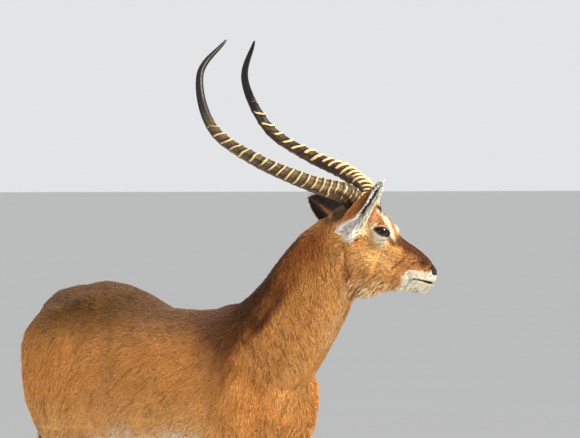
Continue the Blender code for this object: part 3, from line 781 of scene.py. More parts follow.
    def bare_parts(self):
        """Black lids, nose, nostrils and line of the mouth."""
        where = self.where
        for side in (1, -1):
            spread = where.eye_spread(side)[0]
            self.lay(BLACK_SKIN, ease(spread, 1.20, 1.08))
        self.lay(BLACK_SKIN, where.bare_nose())
        self.lay(BLACK_SKIN * 0.4, where.nostril())
        gap, lips = where.mouth_gap()
        width = 0.0020 + 0.0022 * ease(where.along, 0.130, 0.160)
        self.lay(BLACK_SKIN, lips * ease(np.abs(gap), width + 0.001, width))

    def legs_and_tail(self):
        """White within, black down the front, pale above the hooves; a black tuft on the tail."""
        where, leg, tail = self.where, self.where.leg, self.where.tail
        rough_z = where.z + 0.03 * self.fine
        forward = -where.normals[:, 1]
        self.lay(LEG_BROWN, 0.6 * leg * ease(rough_z, 0.66, 0.40))
        middle = np.where(where.hind > 0.5, 0.096, 0.092)
        inner = ease(middle - where.wide, -0.006, 0.012) * leg
        self.lay(WHITE, 0.85 * inner * ease(where.z, 0.12, 0.20))
        top = np.where(where.hind > 0.5, 0.36, 0.60)
        shin = ease(forward, 0.60, 0.90) * leg
        self.lay(NEAR_BLACK, 0.95 * shin * ease(rough_z, top + 0.03, top - 0.04))
        self.lay(WHITE, 0.80 * leg * within(where.z - 0.098, 0.016, 0.008))
        self.lay(NEAR_BLACK, 0.90 * leg * ease(where.z, 0.072, 0.060))
        self.lay(WHITE, tail * ease(forward, 0.0, 0.6) * 0.9)
        self.lay(NEAR_BLACK, tail * ease(where.z + 0.01 * self.fine, 0.665, 0.640))


# ---- horns

HORN_PATHS = {                   # ahead, above and aside from the brow point, base to tip
    1: ((-0.059, 0.050, 0.036), (-0.082, 0.103, 0.098), (-0.148, 0.149, 0.180),
        (-0.267, 0.197, 0.245), (-0.377, 0.268, 0.247), (-0.431, 0.392, 0.210),
        (-0.387, 0.496, 0.138)),
    -1: ((-0.059, 0.050, -0.036), (-0.086, 0.098, -0.094), (-0.159, 0.125, -0.168),
         (-0.289, 0.184, -0.218), (-0.411, 0.268, -0.206), (-0.455, 0.404, -0.162),
         (-0.401, 0.496, -0.096)),
}
# Of each horn: its rings and the share of its length that they reach, their height, the width of
# their pale crests and how much it narrows, how far round the crests are pale, and the shares
# between which the wrinkles of the base die out. The pale crests are partly wear, partly a painted
# highlight.
HORN_RINGS = {
    1: (23, 0.78, 0.0044, 0.20, 0.55, 0.40, (0.10, 0.02)),
    -1: (27, 0.70, 0.0034, 0.085, 0.0, 0.10, (0.24, 0.08)),
}
AROUND, ROW_CUTS = 44, (91, 4)
CREST_PHASE, VALLEY_PHASE = 0.36, 0.66


def smooth_path(knots, per_span):
    """A Catmull-Rom curve through the knots."""
    ends = np.vstack([2 * knots[0] - knots[1], knots, 2 * knots[-1] - knots[-2]])
    dense = []
    for before, start, end, after in zip(ends, ends[1:], ends[2:], ends[3:]):
        for t in np.linspace(0.0, 1.0, per_span, endpoint=False):
            dense.append(
                start + 0.5 * t * (end - before)
                + t * t * (before - 2.5 * start + 2.0 * end - 0.5 * after)
                + t**3 * (1.5 * (start - end) + 0.5 * (after - before))
            )
    return np.array([*dense, knots[-1]])


def tube_blank(name, sides, levels):
    """A closed tube cut into even rows; its points are then placed by their row and turn."""
    tube = primitive(
        name, bpy.ops.mesh.primitive_cylinder_add,
        vertices=sides, radius=1.0, depth=1.0, end_fill_type="TRIFAN", location=(0, 0, 0.5),
    )
    bpy.ops.object.transform_apply(location=True, rotation=True, scale=True)
    only(tube)
    bpy.ops.object.mode_set(mode="EDIT")
    bpy.ops.mesh.select_mode(type="EDGE")
    shell = bmesh.from_edit_mesh(tube.data)
    for cuts in levels:
        bpy.ops.mesh.select_all(action="DESELECT")
        for edge in shell.edges:
            edge.select = abs(edge.verts[0].co.z - edge.verts[1].co.z) > 1e-5
        bpy.ops.mesh.subdivide(number_cuts=cuts)
    bpy.ops.object.mode_set(mode="OBJECT")
    spots = points_of(tube.data)
    centre = np.hypot(spots[:, 0], spots[:, 1]) < 0.5
    return tube, spots[:, 2], np.arctan2(spots[:, 1], spots[:, 0]), np.where(centre, 0.0, 1.0)


def make_horn(name, side):
    """A horn along its path, ringed on its fore side; it stores what its finish reads."""
    rings, reach, height, pale_crest_wide, narrowing, pale_crest_from, wrinkled = HORN_RINGS[side]
    path = smooth_path(np.array([at_head(*spot) for spot in HORN_PATHS[side]]), 60)
    steps = np.linalg.norm(np.diff(path, axis=0), axis=1)
    reached = np.concatenate([[0.0], np.cumsum(steps)])
    reached /= reached[-1]
    horn, share, angle, shape = tube_blank(name, AROUND, ROW_CUTS)
    share = 0.996 * share
    turn = np.cos(angle), np.sin(angle)

    def along(at):
        return np.stack([np.interp(at, reached, path[:, k]) for k in range(3)], 1)

    def rough(across, length, size, seed):
        return speckle(np.stack([turn[0] * across, turn[1] * across, length], 1), size, seed)

    run = unit(along(np.minimum(share + 0.006, 1.0)) - along(np.maximum(share - 0.006, 0.0)))
    wide = unit(LEFT - column(run @ LEFT) * run)
    fore = np.cross(run, wide)
    rest = 1 - share
    radius = 0.0125 * rest**7 + 0.0018 * rest**2 + 0.0197 * rest**0.42
    front = 0.5 - 0.5 * turn[1]

    # Rings: crests proud on the fore side, worn into short wrinkles near the head.
    wander = 0.04 * np.sin(3 * angle + 40 * share) + 0.10 * np.cos(angle + side * 0.6)
    low = ease(share, *wrinkled)
    wander += 0.60 * (front - 0.5) + (0.25 + 1.2 * low) * (rough(1.2, share * 14, 0.8, 14) - 0.5)
    count = rings * (share / reach) ** 0.66 + wander
    phase = count - np.floor(count)
    pale_crest_wide = pale_crest_wide * (1 - narrowing * ease(share, 0.30, 0.65))
    crest = np.exp(-(((phase - CREST_PHASE) / 0.15) ** 2))
    cream = np.exp(-(((phase - CREST_PHASE) / pale_crest_wide) ** 4))
    ringed = ease(share, reach + 0.03, reach - 0.14)
    uneven = 0.70 + 0.6 * np.sin(np.floor(count) * 2.4 + 1.0) ** 2
    tall = height * ringed * (0.45 + 0.55 * ease(share, 0.02, 0.14)) * uneven
    proud = crest * tall * (0.30 + 0.70 * front)
    grain, furrow = rough(3, share * 6, 0.25, 11), rough(1, share * 1.6, 0.12, 15)
    fibres = ease(share, 0.80, 0.55)
    proud = proud + ((grain - 0.5) * 0.0010 + (furrow - 0.5) * 0.0012 * (1 + low)) * fibres
    rim = column(0.92 * turn[0]) * wide + column(turn[1]) * fore
    move_points(horn.data, along(share) + column(shape * (radius + proud)) * rim)

    # Pale crests on the fore side: partly wear, partly a painted highlight where the crests catch
    # the light.
    patch = rough(1, count, 0.55, 13)
    wear_and_highlight = cream * ringed * ease(front + 0.50 * (patch - 0.5), pale_crest_from, pale_crest_from + 0.20)
    wear_and_highlight = wear_and_highlight * (1 - 0.75 * low * (furrow < 0.55)) * (0.55 + 0.9 * patch)
    # Painted shade: dark in the valleys between the rings, and near black under the base on its
    # rear side, as if in shadow.
    valley_shade = ringed * np.exp(-(((phase - VALLEY_PHASE) / 0.10) ** 2)) * (0.4 + 0.6 * front)
    under = ease(turn[1], -0.35, 0.45) * ease(share, 0.15, 0.07)
    paint(horn.data, "crest", np.clip(wear_and_highlight, 0, 1))
    paint(horn.data, "share", share)
    paint(horn.data, "valley_shade", np.maximum(valley_shade, under))
    paint(horn.data, "furrow", furrow)
    faced_out(horn)
    return smoothed(horn)


def horn_finish(name, body, groove, crest, tip, gloss):
    """Ringed horn: a body colour, painted shade in the valleys between the rings and under the
    base, and pale crests that are partly wear and partly a painted highlight.
    """
    made = Finish(name, Roughness=gloss, Specular_IOR_Level=0.20)
    blotch = made.noise(38.0, 5.0).eased(0.35, 0.68)
    streak = made.noise(1.0, 3.0, (420, 420, 60)).eased(0.35, 0.70)
    share, furrow = made.stored("share"), made.stored("furrow")
    colour = made.blend(groove, body, blotch * 0.60 + 0.25)
    colour = made.blend(colour, groove * 0.5, furrow.eased(0.52, 0.30) * 0.8)
    colour = made.blend(colour, crest * 0.6, furrow.eased(0.60, 0.85) * 0.35)
    colour = made.blend(colour, body * 1.3, streak * 0.30)
    # Painted shade of the valleys and of the base's underside.
    colour = made.blend(colour, groove * 0.2, made.stored("valley_shade").eased(0.1, 0.8) * 0.92)
    colour = made.blend(colour, tip, share.eased(0.58, 0.74))
    # The pale crests, partly wear and partly a painted highlight.
    worn_and_lit = made.stored("crest") * (blotch * 0.35 + 0.75)
    colour = made.blend(colour, crest, worn_and_lit.eased(0.15, 0.75) * 0.95)
    height = streak * 0.5 + blotch * 0.5
    smooth_tip = share.eased(0.62, 0.80)
    rough = blotch * 0.18 + gloss - smooth_tip * 0.22
    bump = made.bump(height * (1.0 - smooth_tip * 0.85), 0.45, 0.0010)
    return made.feed(Base_Color=colour, Roughness=rough, Normal=bump)


# ---- eyes, hooves, dewclaws

EYE_GAP, RIM_STEPS, RIM_RADIUS = 0.0004, 96, 0.0010
IRIS_DARK, IRIS_FLECK, IRIS_EDGE = tone(24, 13, 8), tone(46, 26, 15), tone(14, 10, 8)
PUPIL = tone(6, 5, 5)


def make_eye(name, side):
    """An eyeball with a clear bulge in front; its place and look come from the node."""
    eye = ball(name, (0, 0, 0), EYE_RADIUS - EYE_GAP)
    edited(eye, bpy.ops.mesh.subdivide, number_cuts=2, smoothness=1.0)
    points = unit(points_of(eye.data)) * (EYE_RADIUS - EYE_GAP)
    facing = points @ EYE_LOOK[side] / EYE_RADIUS
    points = points * column(1 + 0.022 * ease(facing, 0.70, 0.98))
    along, over = points @ EYE_ALONG[side], points @ EYE_OVER[side]
    pupil = np.sqrt((along / 0.0095) ** 2 + (over / 0.0058) ** 2)
    iris = np.hypot(along, over) / 0.0160
    rays = ease(np.cos(np.arctan2(over, along) * 40), -1, 1)
    colour = mix(IRIS_DARK[None], IRIS_FLECK, rays * 0.3)
    colour = mix(colour, PUPIL, ease(pupil, 1.15, 0.9))
    colour = mix(colour, IRIS_EDGE, ease(iris, 0.92, 1.0))
    move_points(eye.data, points + EYES[side])
    paint(eye.data, "surface_colour", colour)
    return smoothed(eye)


def make_lid_rim(name, side):
    """The bare wet margin of the lids, a thin roll along their edge."""
    turn = np.linspace(0, 2 * pi, RIM_STEPS + 1)[:-1]
    wide = np.where(np.cos(turn) > 0, LID_FORE, LID_REAR)
    high = np.where(np.sin(turn) > 0, LID_UPPER, LID_LOWER)
    along = wide * np.sign(np.cos(turn)) * np.abs(np.cos(turn)) ** (2 / LID_CORNER)
    over = high * np.sign(np.sin(turn)) * np.abs(np.sin(turn)) ** (2 / LID_CORNER)
    ring = on_eyeball(side, along, over, least=1e-9)
    rim = primitive(
        name, bpy.ops.mesh.primitive_torus_add,
        major_segments=RIM_STEPS, minor_segments=10, major_radius=1.0, minor_radius=0.1,
    )
    spots = points_of(rim.data)
    around = np.arctan2(spots[:, 1], spots[:, 0])
    step = np.round(around / (2 * pi) * RIM_STEPS).astype(int) % RIM_STEPS
    small = np.arctan2(spots[:, 2], np.hypot(spots[:, 0], spots[:, 1]) - 1.0)
    way = ring[step]
    onward = unit(np.roll(ring, -1, axis=0) - np.roll(ring, 1, axis=0))[step]
    across = np.cross(way, onward)
    roll = column(np.cos(small)) * across + column(np.sin(small)) * way
    move_points(rim.data, EYES[side] + way * (EYE_RADIUS + 0.0014) + RIM_RADIUS * roll)
    faced_out(rim)
    return smoothed(rim)


def make_hoof(node):
    """One claw: long, pointed, flat below, with faint growth lines, in the box of its node."""
    low, high = (np.array(corner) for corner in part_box(node))
    width, length, height = high - low
    outer = 1 if node.endswith("outer") else -1
    side = (1 if "left" in node else -1) * outer
    hoof, level, angle, shape = tube_blank(node + "_claw", 40, (21,))
    tilt = ease(level, 0.0, 1.0) * 0.35 + 0.65 * level
    back = 0.5 - 0.5 * np.cos(angle)
    fullness = np.sin(angle) * (1 - 0.62 * back**2.2)
    breadth, long = 1.0 - 0.22 * tilt, 1.0 - 0.45 * tilt
    lines = 1.0 + 0.012 * np.sin(level * 34) * (level < 0.9)
    x = (low[0] + high[0]) / 2 + shape * breadth * width * 0.5 * fullness * lines
    x -= side * 0.0012 * ease(level, 0.3, 1.0)
    front_to_back = 0.455 * tilt + long * (0.5 + shape * 0.5 * np.cos(angle) * lines)
    y = low[1] + length * np.clip(front_to_back, 0.0, 1.0)
    move_points(hoof.data, np.stack([x, y, low[2] + height * level], 1))
    faced_out(hoof)
    bpy.ops.object.shade_smooth_by_angle(angle=radians(50))
    return hoof


# Of the fore and the hind pair: how far aside and back from the withers' foot, and how high.
DEWCLAWS = ((0.090, 0.025, 0.094), (0.095, 0.839, 0.097))
DEWCLAW_SIZE, DEWCLAW_SPREAD = (0.0070, 0.0080, 0.0135), 0.0135


def make_dewclaws():
    """The two small claws behind each pastern, all as one piece."""
    claws = []
    for aside, behind, height in DEWCLAWS:
        for side in (1, -1):
            for toe in (1, -1):
                claw = ball("dewclaw", (0, 0, 0), 1.0)
                x, y, z = points_of(claw.data).T
                slim = 1 - 0.40 * ease(z, 0.3, -1.0)
                spots = np.stack([x * slim, y * slim, z], 1) * DEWCLAW_SIZE
                spots[:, 1] += 0.005 * ease(z, 0.2, -1.0)
                place = (side * aside + toe * DEWCLAW_SPREAD, behind, height)
                move_points(claw.data, spots + WITHERS + place)
                claws.append(claw)
    return smoothed(joined(claws, "dewclaws"))


# ---- ears

EAR_WALL = 0.0034
# Root, tip, the way that the hollow faces at the root, its twist, the leaf's half width, and 1
# where the rear edge curls over the hollow and the fore edge spreads.
EARS = {
    -1: (at_head(-0.106, 0.005, -0.066), at_head(0.022, 0.127, -0.172),
         -0.90 * LEFT + 0.42 * HEADING - 0.1 * UP, radians(24.0), 0.031, 1.0),
    1: (at_head(-0.104, 0.008, 0.064), at_head(-0.232, 0.088, 0.112),
        0.80 * LEFT - 0.35 * HEADING + 0.1 * UP, 0.0, 0.047, 0.0),
}
EAR_LAYERS = ("leaf_along", "leaf_across", "inward_x", "inward_y", "inward_z")
# The third is painted shadow, for the back of the laid back ear.
EAR_BACK, EAR_TIP, EAR_SHADOW = tone(176, 112, 58), tone(96, 56, 30), tone(26, 20, 17)
EAR_WHITE, EAR_STRIPE = tone(250, 248, 240), tone(34, 29, 26)


def make_ear(name, side):
    """A cupped leaf from root to tip. It also stores how far each point is along and across."""
    root, tip, opening, twist, width, hooded = EARS[side]
    axis = unit(tip - root)
    start = unit(opening - (opening @ axis) * axis)
    ear = primitive(
        name, bpy.ops.mesh.primitive_grid_add, x_subdivisions=48, y_subdivisions=60, size=2.0
    )
    spots = points_of(ear.data)
    u, t = spots[:, 0], (spots[:, 1] + 1) / 2
    turn = column(twist * ease(t, 0.0, 0.6))
    hollow = np.cos(turn) * start + np.sin(turn) * np.cross(axis, start)
    across = np.cross(axis, hollow)
    half = width * (0.78 + 0.22 * t) * np.maximum(1 - t**2.2, 0) ** 0.66 + 0.0008
    even = radians(115.0) * (1 - t) ** 1.3 + radians(34.0)
    rear = np.radians(95 + 40 * ease(t, 0.10, 0.45) - 45 * ease(t, 0.65, 1.0))
    fore = radians(58.0) + radians(40.0) * (1 - t) ** 2
    curl = even + hooded * (np.where(u < 0, rear, fore) - even)
    broader = hooded * np.where(u < 0, 0.16 * ease(t, 0.08, 0.38) - 0.24, 0.16)
    radius = half * (1 + broader) / np.sin(np.minimum(curl, pi / 2))
    angle = curl * u
    lean = 0.012 * np.sin(pi * t)
    points = root + column(t) * (tip - root) + column(radius * np.sin(angle)) * across
    points += column(radius * (1 - np.cos(angle)) - lean) * hollow
    points += column(0.0009 * np.sin(u * 16) * np.sin(pi * t) * (1 - u**2)) * hollow
    move_points(ear.data, points)
    inward = column(np.cos(angle)) * hollow - column(np.sin(angle)) * across
    for layer, values in zip(EAR_LAYERS, (t, u, *inward.T)):
        paint(ear.data, layer, values)
    apply_modifier(ear, "SOLIDIFY", thickness=EAR_WALL, offset=0.0)
    faced_out(ear)
    apply_modifier(ear, "SMOOTH", factor=0.5, iterations=3)
    return smoothed(ear), axis


def ear_marks(mesh, side):
    """Colour and inner face of an ear: white within with a grey stripe, dark tip, brown back,
    painted shade along the back's rear edge, and a painted shadow over the laid back ear.
    """
    along, across, *inward = (painted(mesh, layer) for layer in EAR_LAYERS)
    inner = ease((normals_of(mesh) * np.stack(inward, 1)).sum(1), -0.10, 0.20)
    brown = mix(EAR_BACK[None], EAR_TIP, ease(along, 0.3, 0.9))
    if side > 0:                # painted shadow: the laid back ear goes nearly black behind, but for one strip left brown as if lit
        strip = hump((across - 0.05, 0.09))
        brown = mix(brown, EAR_SHADOW, ease(along, 0.05, 0.25) * (1 - strip))
    stripe = ease(np.abs(across - 0.46), 0.38, 0.26) * ease(along, 0.20, 0.36)
    colour = mix(brown, mix(EAR_WHITE[None], EAR_STRIPE, 0.95 * stripe), inner)
    rim = ease(np.abs(across), 0.90, 0.97) * ease(along, 0.06, 0.14) * (across > 0)
    colour = mix(colour, WHITE, 0.9 * rim)
    colour = mix(colour, NEAR_BLACK, 0.85 * ease(along, 0.90, 0.965) * (1 - 0.5 * inner))
    shadowy = (1 - inner) * ease(across, -0.80, -0.96) * ease(along, 0.35, 0.70)
    colour = mix(colour, NEAR_BLACK, 0.7 * shadowy)
    mottle = 0.85 + 0.3 * speckle(points_of(mesh), 0.008, 12)
    return colour * column(mottle), inner, along, across


# ---- the coat

class Ground:
    """A surface that tufts grow from: its shape, and roots picked on it."""

    def __init__(self, mesh):
        self.points, self.normals = points_of(mesh), normals_of(mesh)
        self.faces = triangles_of(mesh)
        corners = self.points[self.faces]
        cross = np.cross(corners[:, 1] - corners[:, 0], corners[:, 2] - corners[:, 0])
        self.areas = np.linalg.norm(cross, axis=1) / 2

    def sow(self, density, wanted):
        """Picks roots at a density per point. It returns how many, and a reader of values there."""
        worth = self.areas * density[self.faces].mean(axis=1) * wanted[self.faces].min(axis=1)
        ends = np.cumsum(worth * TUFT_SHARE)
        count = int(ends[-1])
        spots = (np.arange(count) + RANDOM.random(count)) / count * ends[-1]
        picks = np.minimum(np.searchsorted(ends, spots), len(self.faces) - 1)
        a, b = RANDOM.random(count), RANDOM.random(count)
        flip = a + b > 1
        a[flip], b[flip] = 1 - a[flip], 1 - b[flip]
        shares = np.stack([1 - a - b, a, b], 1)

        def here(values):
            corners = values[self.faces[picks]]
            return (corners * (shares if corners.ndim == 2 else shares[..., None])).sum(axis=1)

        return count, here


# The body's unwrap is made of squares: how much of the body one spans, how many lie along each
# side, the body's lowest corner as they see it, and the part of a square that is used.
ATLAS_SPAN, ATLAS_SIDE, ATLAS_LOW = 1.80, 5, (-0.45, -0.75, 0.0)
ATLAS_MARGIN, ATLAS_USED = 0.02, 0.94


def atlas(points, normals):
    """An unwrap of the body: six ways of facing, times its sides and halves, side by side."""
    places = points - WITHERS
    way = np.abs(normals).argmax(axis=1)
    facing = way * 2 + (normals[np.arange(len(way)), way] > 0)
    cell = facing * 4 + (places[:, 0] > 0) * 2 + (places[:, 1] > 0.35)
    axes = np.array([(1, 2), (0, 2), (0, 1)])[way]
    flat = np.take_along_axis(places - ATLAS_LOW, axes, axis=1)
    spread = np.clip(flat / ATLAS_SPAN, 0.0, 1.0)
    corner = np.stack([cell % ATLAS_SIDE, cell // ATLAS_SIDE], 1)
    return (corner + ATLAS_MARGIN + ATLAS_USED * spread) / ATLAS_SIDE


def lie_of_coat(where):
    """The way that the hair lies at each point, along the surface."""
    def turned(first, second, share):
        return first * (1 - column(share)) + column(share) * second

    down = 0.35 * BACK - UP
    trunk = BACK - 0.55 * column(ease(where.z, 1.00, 0.80)) * UP
    trunk = turned(trunk, down, ease(where.y, 0.08, -0.12))
    trunk = turned(trunk, down, where.eased(y=(0.52, 0.68), z=(0.98, 0.85)))
    crest = ease(where.normals @ NAPE_WAY, 0.45, 0.85)
    neck = turned(-0.28 * BACK - 0.95 * UP, 0.75 * BACK - 0.65 * UP, crest)
    low = 0.5 * column(ease(where.over, -0.060, -0.120))
    nose = where.eased(along=(-0.010, 0.040), over=(-0.045, -0.012))
    head = turned(-0.85 * HEADING - (0.42 + low) * UP, -SKULL + 0.10 * UP, nose)
    brow = where.eased(over=(-0.004, 0.022), along=(0.03, 0.0))
    head = turned(head, -0.9 * HEADING + 0.5 * UP, brow)
    leg, tail = 0.12 * BACK - UP, 0.1 * BACK - UP
    total = column(where.trunk) * trunk + column(where.neck) * neck + column(where.head) * head
    total += column(where.leg) * leg + column(where.tail) * tail
    swirl = np.stack([speckle(where.points, 0.06, 20 + k) - 0.5 for k in range(3)], 1)
    return laid_flat(unit(total + 1e-6) + 0.35 * swirl, where.normals)


def streaks(points, way, size, reach, seed):
    """Noise drawn out along the lie of the coat, spread between 0 and 1."""
    total = 0.0
    for share in np.linspace(-1, 1, 7):
        total = total + speckle(points + share * reach * way, size, seed)
    return np.clip((total / 7 - 0.5) * 3.0 + 0.5, 0, 1)


# Each tuft is a blade of six points: two at its root, two on its edges, its ridge and its tip.
BLADE_FACES = np.array(
    [(0, 1, 4), (0, 4, 2), (1, 3, 4), (2, 4, 5), (4, 3, 5), (0, 2, 3), (0, 3, 1), (2, 5, 3)]
)
BLADE_UV = 0.0015 * np.array([(-1, -1), (1, -1), (-1, 0), (1, 0), (0, 0), (0, 1)])
# Painted shade along each blade: darkest at the root, where the hairs shade each other, and a
# little lighter towards the ridge and tip.
BLADE_ROOT_SHADE = np.array([0.62, 0.62, 0.96, 0.96, 1.05, 1.08])[None, :, None]
BLADE_TIPNESS = np.array([0.0, 0.0, 0.35, 0.35, 0.35, 1.0])[None, :, None]
TUFT_STRAY, TUFT_BEND, TUFT_SUNK = 0.16, 0.10, 0.0006


def tuft_piece(name, blades, tones, spots):
    """One mesh object of blades, with a colour for each point and a place on the unwrap."""
    count = len(blades)
    faces = (BLADE_FACES[None] + 6 * np.arange(count)[:, None, None]).reshape(-1, 3)
    mesh = bpy.data.meshes.new(name)
    mesh.vertices.add(count * 6)
    mesh.vertices.foreach_set("co", blades.astype(np.float32).ravel())
    mesh.loops.add(len(faces) * 3)
    mesh.loops.foreach_set("vertex_index", faces.astype(np.int32).ravel())
    mesh.polygons.add(len(faces))
    mesh.polygons.foreach_set("loop_start", np.arange(0, len(faces) * 3, 3, dtype=np.int32))
    mesh.update(calc_edges=True)
    layer = mesh.uv_layers.new(name="OFBake")
    flat_uv = spots.reshape(-1, 2)[faces.ravel()]
    layer.uv.foreach_set("vector", flat_uv.astype(np.float32).ravel())
    paint(mesh, "surface_colour", np.clip(tones.reshape(-1, 3), 0.001, 0.95))
    return smoothed(made_object(name, mesh))


def grow_tufts(name, ground, wanted, plan, lie, colour, pieces=1):
    """Joined tufts: each a flat tapered blade, closed all round, rooted just under the skin."""
    count, here = ground.sow(plan["density"], wanted)

    def jitter(low, high):
        return RANDOM.uniform(low, high, count)

    root, normal, way = here(ground.points), unit(here(ground.normals)), here(lie)
    way = laid_flat(way, normal)
    grain = here(plan["grain"])
    strand = grain * streaks(root, way, 0.0025, 0.011, 41)
    strand += (1 - grain) * streaks(root, way, 0.0036, 0.012, 41)
    way = unit(way + column(RANDOM.normal(0, TUFT_STRAY, count)) * np.cross(normal, way))
    side = np.cross(normal, way)
    long = column(here(plan["length"]) * jitter(0.65, 1.30))
    half = column(here(plan["width"]) * jitter(0.75, 1.25) / 2)
    lift = column(here(plan["rise"]) * jitter(0.6, 1.4) * (0.75 + 0.5 * strand))
    bend = column(RANDOM.normal(0, TUFT_BEND, count))
    sunk = root - TUFT_SUNK * normal
    middle = root + 0.48 * long * way + 0.62 * long * lift * normal
    tip = root + long * (way + bend * side) + long * lift * 0.92 * normal
    ridge = middle + 0.32 * half * normal - 0.1 * long * way
    edges = [sunk - 0.7 * half * side, sunk + 0.7 * half * side]
    edges += [middle - half * side, middle + half * side]
    blades = np.stack([*edges, ridge, tip], 1)

    base = here(colour)
    frosted = here(plan["frost"]) * ease(streaks(root, way, 0.0030, 0.010, 43), 0.40, 0.60)
    end = mix(base * 1.15, CREAM, frosted)
    # Dark streaks along the lie of the coat, strongest on the jaw: partly the coat's own streaky
    # tone, partly painted shade of the gaps between locks.
    gaps = 0.45 * (strand - 0.5) - 1.20 * ease(strand, 0.44, 0.18)
    shade = 1.04 + here(plan["contrast"]) * gaps
    shade = np.clip(shade * (1 + RANDOM.normal(0, 0.10, count)), 0.22, 1.6)[:, None, None]
    weights = 0.85 * frosted[:, None, None] * (BLADE_TIPNESS > 0)
    weights = np.maximum(BLADE_TIPNESS, weights)
    tones = (base[:, None] * (1 - weights) + end[:, None] * weights) * BLADE_ROOT_SHADE * shade
    spots = atlas(root, normal)[:, None] + BLADE_UV[None]
    bounds = np.linspace(0, count, pieces + 1).astype(int)
    return [
        tuft_piece(f"{name}_{k}" if pieces > 1 else name, blades[i:j], tones[i:j], spots[i:j])
        for k, (i, j) in enumerate(zip(bounds, bounds[1:]))
    ]


# Of the tufts on each part: length, width, rise from the skin, how many to a square metre, and how
# strongly they are streaked. The patches, below the parts, add to the part that they lie on.
COAT = {
    "trunk": (0.0160, 0.0024, 0.15, 58e3, 0.30),
    "neck": (0.0180, 0.0024, 0.20, 84e3, 0.34),
    "head": (0.0110, 0.0017, 0.15, 248e3, 0.20),
    "leg": (0.0100, 0.0019, 0.13, 72e3, 0.40),
    "tail": (0.0160, 0.0022, 0.16, 140e3, 0.30),
    "cheek": (0.0040, 0.0004, 0, -60e3, 0),
    "low_cheek": (0, 0, 0, 0, 1.20),
    "jaw": (0.0100, 0.0004, 0.20, 0, 0),
    "crown": (0.0080, 0.0004, 0.08, 0, 0.60),
    "ear_roots": (0, 0, 0, 0, 0.55),
    "muzzle": (-0.0040, 0, 0, 200e3, 0.75),
    "nose": (-0.0025, -0.0006, 0, 200e3, 0),
    "eyes": (-0.0050, -0.0006, 0, 200e3, 0),
    "belly": (0.0070, 0, 0.06, 0, 0),
    "fetlock": (-0.0020, 0, 0.04, 0, 0),
    "tuft": (0.0300, 0, 0.06, 100e3, 0),
}


def coat_plan(where, colour):
    """What the coat is like at each point: the columns of COAT, and how frosted its tips are."""
    head = where.head
    cheek = head * ease(where.over, -0.04, -0.10)
    eyes = head * ease(where.lid_spread(), 3.0, 1.4)
    ears = [np.linalg.norm(where.points - EARS[side][0], axis=1) for side in (1, -1)]
    masks = {part: getattr(where, part) for part in ("trunk", "neck", "head", "leg", "tail", "jaw")}
    masks |= {
        "cheek": cheek,
        "low_cheek": cheek * ease(where.over, -0.092, -0.122),
        "crown": head * where.eased(over=(0.026, 0.046), along=(0.02, -0.02)),
        "ear_roots": ease(np.minimum(*ears), 0.085, 0.030),
        "muzzle": head * ease(where.along, 0.070, 0.120),
        "nose": head * ease(where.along, 0.105, 0.150),
        "eyes": eyes,
        "belly": where.trunk * where.down,
        "fetlock": where.leg * ease(where.z, 0.13, 0.08),
        "tuft": where.tail * ease(where.z, 0.70, 0.64),
    }
    plan = {
        kind: sum(row[k] * masks[part] for part, row in COAT.items())
        for k, kind in enumerate(("length", "width", "rise", "density", "contrast"))
    }
    pale = ease(colour.min(axis=1), 0.30, 0.55)
    plan["contrast"] *= (1 - 0.85 * pale) * (1 - 0.6 * eyes)
    low_jaw = head * where.eased(over=(-0.095, -0.120), along=(-0.02, 0.04))
    plan["frost"] = np.clip(where.jaw + 0.9 * low_jaw, 0, 1) * (1 - pale)
    plan["grain"] = head
    return plan


# ---- finishes

def skin_finish():
    made = Finish("short_coat", Roughness=0.72, Specular_IOR_Level=0.12)
    surface_colour = made.stored("surface_colour", colour=True)
    hairs = made.noise(1.0, 3.0, (900, 160, 420))
    strands = made.noise(1.0, 3.0, (520, 520, 90))
    both = hairs * 0.5 + strands * 0.5
    colour = made.blend(surface_colour, tone(255, 255, 255), both.eased(0.50, 0.85) * 0.06)
    colour = made.blend(colour, tone(40, 24, 14), both.eased(0.50, 0.20) * 0.35)
    bare = made.stored("bare")
    height = made.blend(both, made.noise(620.0, 2.0), bare)
    bump = made.bump(height, 0.55, 0.0012)
    return made.feed(Base_Color=colour, Roughness=0.74 - bare * 0.36, Normal=bump)


def coat_finish():
    made = Finish("coat_tufts", Roughness=0.62, Specular_IOR_Level=0.12)
    surface_colour = made.stored("surface_colour", colour=True)
    flecks = made.noise(260.0, 2.0)
    colour = made.blend(surface_colour, tone(60, 36, 22), flecks.eased(0.55, 0.30) * 0.22)
    return made.feed(Base_Color=colour, Roughness=flecks * 0.15 + 0.55)


def eye_finish():
    made = Finish("wet_eye", Roughness=0.10, Specular_IOR_Level=0.15, Coat_Weight=0.2)
    made.shader.inputs["Coat Roughness"].default_value = 0.02
    surface_colour = made.stored("surface_colour", colour=True)
    veins = made.noise(420.0, 2.0)
    return made.feed(Base_Color=made.blend(surface_colour, tone(30, 18, 12), veins * 0.3))


def rim_finish():
    made = Finish("lid_margin", Specular_IOR_Level=0.5, Coat_Weight=0.3)
    grain = made.noise(900.0, 2.0)
    colour = made.blend(tone(14, 11, 10), tone(48, 36, 32), grain * 0.5)
    return made.feed(Base_Color=colour, Roughness=grain * 0.2 + 0.25)


def hoof_finish():
    made = Finish("hoof_horn", Specular_IOR_Level=0.45)
    grain = made.noise(1.0, 3.0, (90, 90, 700))
    scuffs = made.noise(120.0, 4.0)
    colour = made.blend(tone(22, 19, 18), tone(74, 62, 52), grain.eased(0.4, 0.75))
    colour = made.blend(colour, tone(120, 104, 88), scuffs.eased(0.62, 0.80) * 0.35)
    bump = made.bump(grain, 0.5, 0.0006)
    return made.feed(Base_Color=colour, Roughness=scuffs * 0.3 + 0.35, Normal=bump)


# ---- putting the animal together

